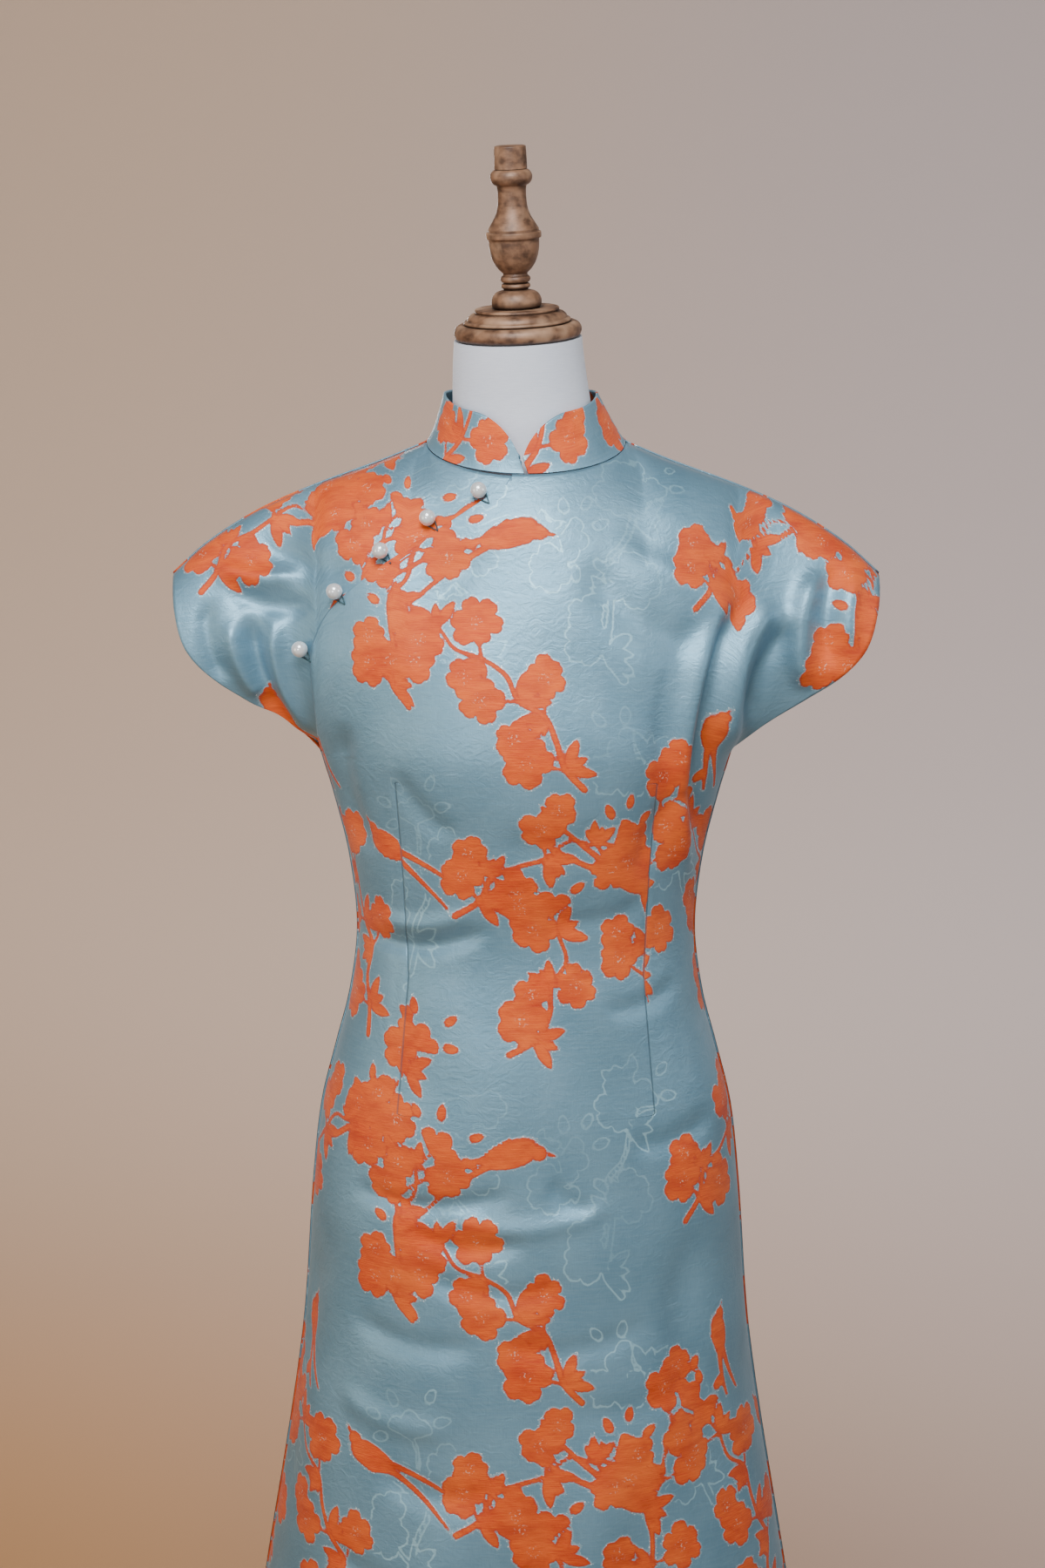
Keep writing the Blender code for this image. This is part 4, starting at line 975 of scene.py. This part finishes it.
FORM = (                    # z, half width, front depth, back depth, squareness, middle in y
    (0.690, 0.120, 0.070, 0.085, 2.0, 0.000),
    (0.700, 0.148, 0.090, 0.107, 2.0, 0.000),
    (0.720, 0.156, 0.096, 0.112, 2.0, 0.000),
    (0.790, 0.153, 0.097, 0.111, 2.0, 0.000),
    (0.850, 0.147, 0.095, 0.105, 2.0, 0.000),
    (0.896, 0.136, 0.091, 0.094, 2.0, 0.000),
    (0.940, 0.125, 0.087, 0.083, 2.0, 0.000),
    (0.990, 0.119, 0.084, 0.077, 2.0, 0.000),
    (1.045, 0.124, 0.090, 0.081, 2.0, 0.000),
    (1.095, 0.134, 0.103, 0.085, 2.0, 0.000),
    (1.135, 0.142, 0.110, 0.087, 2.0, 0.000),
    (1.180, 0.147, 0.102, 0.088, 2.1, 0.000),
    (1.250, 0.147, 0.083, 0.080, 2.2, 0.000),
    (1.290, 0.137, 0.064, 0.068, 2.0, 0.000),
    (1.315, 0.112, 0.055, 0.057, 1.9, 0.000),
    (1.335, 0.084, 0.051, 0.049, 1.9, 0.000),
    (1.352, 0.062, 0.048, 0.047, 2.0, -0.001),
    (1.370, 0.054, 0.047, 0.046, 2.0, -0.003),
    (1.395, 0.0515, 0.0465, 0.046, 2.0, -0.006),
    (1.4375, 0.0478, 0.0478, 0.0478, 2.0, -0.014),
)
FORM_SIDES, FORM_RINGS, LEAN_FROM = 112, 130, 1.335
NECK_LEAN, NECK_ROLL, NECK_SHIFT = math.radians(9.0), math.radians(-2.5), -0.006
form_points, form_faces = [], []
turn = 2 * math.pi * np.arange(FORM_SIDES) / FORM_SIDES
ring_x, ring_y = np.cos(turn), np.sin(turn)
for z in np.linspace(FORM[0][0], FORM[-1][0], FORM_RINGS):
    half, front, back, square, middle = (float(value) for value in smooth(FORM, z))
    lean = float(ease((z - LEAN_FROM) / (FORM[-1][0] - LEAN_FROM)))
    tilt = Euler((NECK_LEAN * lean, NECK_ROLL * lean, 0.0)).to_matrix()
    size = (np.abs(ring_x) ** square + np.abs(ring_y) ** square) ** (-1 / square)
    depth = np.where(ring_y > 0, back, front)
    flat_ring = np.stack([half * ring_x * size, depth * ring_y * size, 0 * turn], axis=-1)
    form_points += (flat_ring @ np.array(tilt).T + np.array([NECK_SHIFT * lean, middle, z])).tolist()
for k in range(FORM_RINGS - 1):
    for j in range(FORM_SIDES):
        a, b = k * FORM_SIDES + j, k * FORM_SIDES + (j + 1) % FORM_SIDES
        form_faces.append((a, b, b + FORM_SIDES, a + FORM_SIDES))
form_faces.append(tuple(range(FORM_SIDES))[::-1])
form_faces.append(tuple(range((FORM_RINGS - 1) * FORM_SIDES, FORM_RINGS * FORM_SIDES)))
form_mesh = bpy.data.meshes.new("linen_form")
form_mesh.from_pydata(form_points, [], form_faces)
form_mesh.shade_smooth()
form_mesh.set_sharp_from_angle(angle=math.radians(50))
form_mesh.materials.append(linen.mat)
linen_form = bpy.data.objects.new("linen_form", form_mesh)
bpy.context.collection.objects.link(linen_form)
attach(linen_form, "root")
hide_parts("form_body")

# ---------------------------------------------------------------- turned wood
# Real pieces: cap, finial, pole and base, lathe-turned and stained antique bronze, rubbed at the edges.
wood = Look("bronzed_wood_stain", (0.20, 0.12, 0.07), 0.50, Metallic=0.15)
wood_place = wood.place()
grain = wood.noise(wood_place, (110.0, 110.0, 150.0), 5.0)
rings = wood.noise(wood_place, (25.0, 25.0, 900.0))
patches = wood.noise(wood_place, (38.0, 38.0, 30.0), 3.0)
stain = wood.node("ShaderNodeValToRGB", {0: grain})
for stop, position, colour in ((0, 0.36, (0.070, 0.032, 0.017, 1.0)), (1, 0.62, (0.230, 0.120, 0.066, 1.0))):
    stain.color_ramp.elements[stop].position = position
    stain.color_ramp.elements[stop].color = colour
worn = wood.mix(wood.step(patches, 0.50, 0.68), stain.outputs[0], (0.400, 0.240, 0.145, 1.0))
# The AO mask darkens the stain towards black in the grooves and between the turnings: painted shade.
groove = wood.node("ShaderNodeAmbientOcclusion", {"Distance": 0.010}, samples=6).outputs["AO"]
wood.join("Base Color", wood.mix(wood.step(groove, 0.35, 0.85), (0.030, 0.014, 0.008, 1.0), worn))
wood.bump(wood.math("ADD", grain, rings), 0.0003, 0.5)
for part_name in ("pole", "base"):
    bpy.data.objects[part_name].data.materials[0] = wood.mat

# The cap and finial lean with the neck they crown, a little forward and to the wearer's right.
neck_tilt = Euler((NECK_LEAN, NECK_ROLL, 0.0)).to_matrix().to_4x4()
CAP_GAP = 0.0003            # between the neck's top and the cap
neck_top = Vector((NECK_SHIFT, FORM[-1][5], FORM[-1][0])) + neck_tilt @ Vector((0.0, 0.0, CAP_GAP))
neck_seat = Matrix.Translation(neck_top) @ neck_tilt


def arc(radius, middle_r, middle_z, start, end, steps):
    """Points of an arc in a profile, between two angles in degrees from the outward direction."""
    angles = [math.radians(start + (end - start) * k / steps) for k in range(steps + 1)]
    return [(middle_r + radius * math.cos(a), middle_z + radius * math.sin(a)) for a in angles]


def turned(name, profile, rise):
    """A piece of wood turned from a profile of radius and height, seated on the leaning neck."""
    mesh = bpy.data.meshes.new(name)
    edges = [(k, k + 1) for k in range(len(profile) - 1)]
    mesh.from_pydata([(r, 0.0, z) for r, z in profile], edges, [])
    piece = bpy.data.objects.new(name, mesh)
    bpy.context.collection.objects.link(piece)
    lathe = piece.modifiers.new("Lathe", "SCREW")
    lathe.steps = lathe.render_steps = 96
    lathe.use_merge_vertices = True
    lathe.merge_threshold = 0.00005
    bpy.ops.object.select_all(action="DESELECT")
    piece.select_set(True)
    bpy.context.view_layer.objects.active = piece
    bpy.ops.object.modifier_apply(modifier="Lathe")
    piece.data.transform(neck_seat @ Matrix.Translation((0.0, 0.0, rise)))
    bpy.ops.object.shade_smooth_by_angle(angle=math.radians(38))
    piece.data.materials.append(wood.mat)
    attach(piece, "root")
    return piece


cap_line = [(0.0, 0.0225), (0.0305, 0.0225)] + arc(0.0012, 0.0305, 0.0213, 80, -60, 6)
cap_line += [(0.0310, 0.0197), (0.0316, 0.0193)]
cap_line += arc(0.0060, 0.0318, 0.0133, 78, 30, 8) + [(0.0374, 0.0148), (0.0386, 0.0143)]
cap_line += arc(0.0016, 0.0384, 0.0127, 70, -55, 8) + [(0.0390, 0.0113), (0.0404, 0.0112)]
cap_line += arc(0.0060, 0.0418, 0.0055, 84, -64, 20) + [(0.0436, 0.0), (0.0, 0.0)]
cap = turned("wooden_cap", cap_line, 0.0)
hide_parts("neck_cap")
finial_line = [(0.0, 0.1172), (0.0104, 0.1172)] + arc(0.0010, 0.0107, 0.1160, 80, 0, 5)
finial_line += [(0.0119, 0.1130), (0.0120, 0.1080), (0.0121, 0.1014), (0.0122, 0.1007)]
finial_line += arc(0.0062, 0.0094, 0.0946, 72, -72, 16) + [(0.0111, 0.0882), (0.0107, 0.0860)]
belly_z = np.linspace(0.0850, 0.0572, 22)
belly_r, = smooth(((0.0572, 0.0189), (0.0624, 0.0158), (0.0672, 0.0130), (0.0730, 0.0112), (0.0800, 0.0106),
                   (0.0860, 0.0106)), belly_z)
finial_line += list(zip(belly_r.tolist(), belly_z.tolist()))
finial_line += [(0.0187, 0.0562), (0.0188, 0.0556)] + arc(0.0012, 0.0193, 0.0543, 80, 0, 6)
finial_line += arc(0.0012, 0.0193, 0.0516, 0, -80, 6) + [(0.0190, 0.0501)]
bowl_z = np.linspace(0.0498, 0.0262, 20)
bowl_r, = smooth(((0.0258, 0.0098), (0.0286, 0.0126), (0.0332, 0.0156), (0.0388, 0.0176), (0.0445, 0.0186),
                  (0.0502, 0.0189)), bowl_z)
finial_line += list(zip(bowl_r.tolist(), bowl_z.tolist())) + [(0.0090, 0.0250)]
finial_line += arc(0.0026, 0.0086, 0.0210, 72, -72, 10) + [(0.0088, 0.0181)]
finial_line += arc(0.0018, 0.0091, 0.0160, 72, -72, 10) + [(0.0089, 0.0133)]
foot_z = np.linspace(0.0128, 0.0010, 14)
foot_r, = smooth(((0.0008, 0.0180), (0.0038, 0.0188), (0.0070, 0.0184), (0.0104, 0.0163), (0.0122, 0.0132),
                  (0.0130, 0.0092)), foot_z)
finial_line += list(zip(foot_r.tolist(), foot_z.tolist())) + [(0.0170, 0.0), (0.0, 0.0)]
finial = turned("wooden_finial", finial_line, 0.0228)
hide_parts("finial")
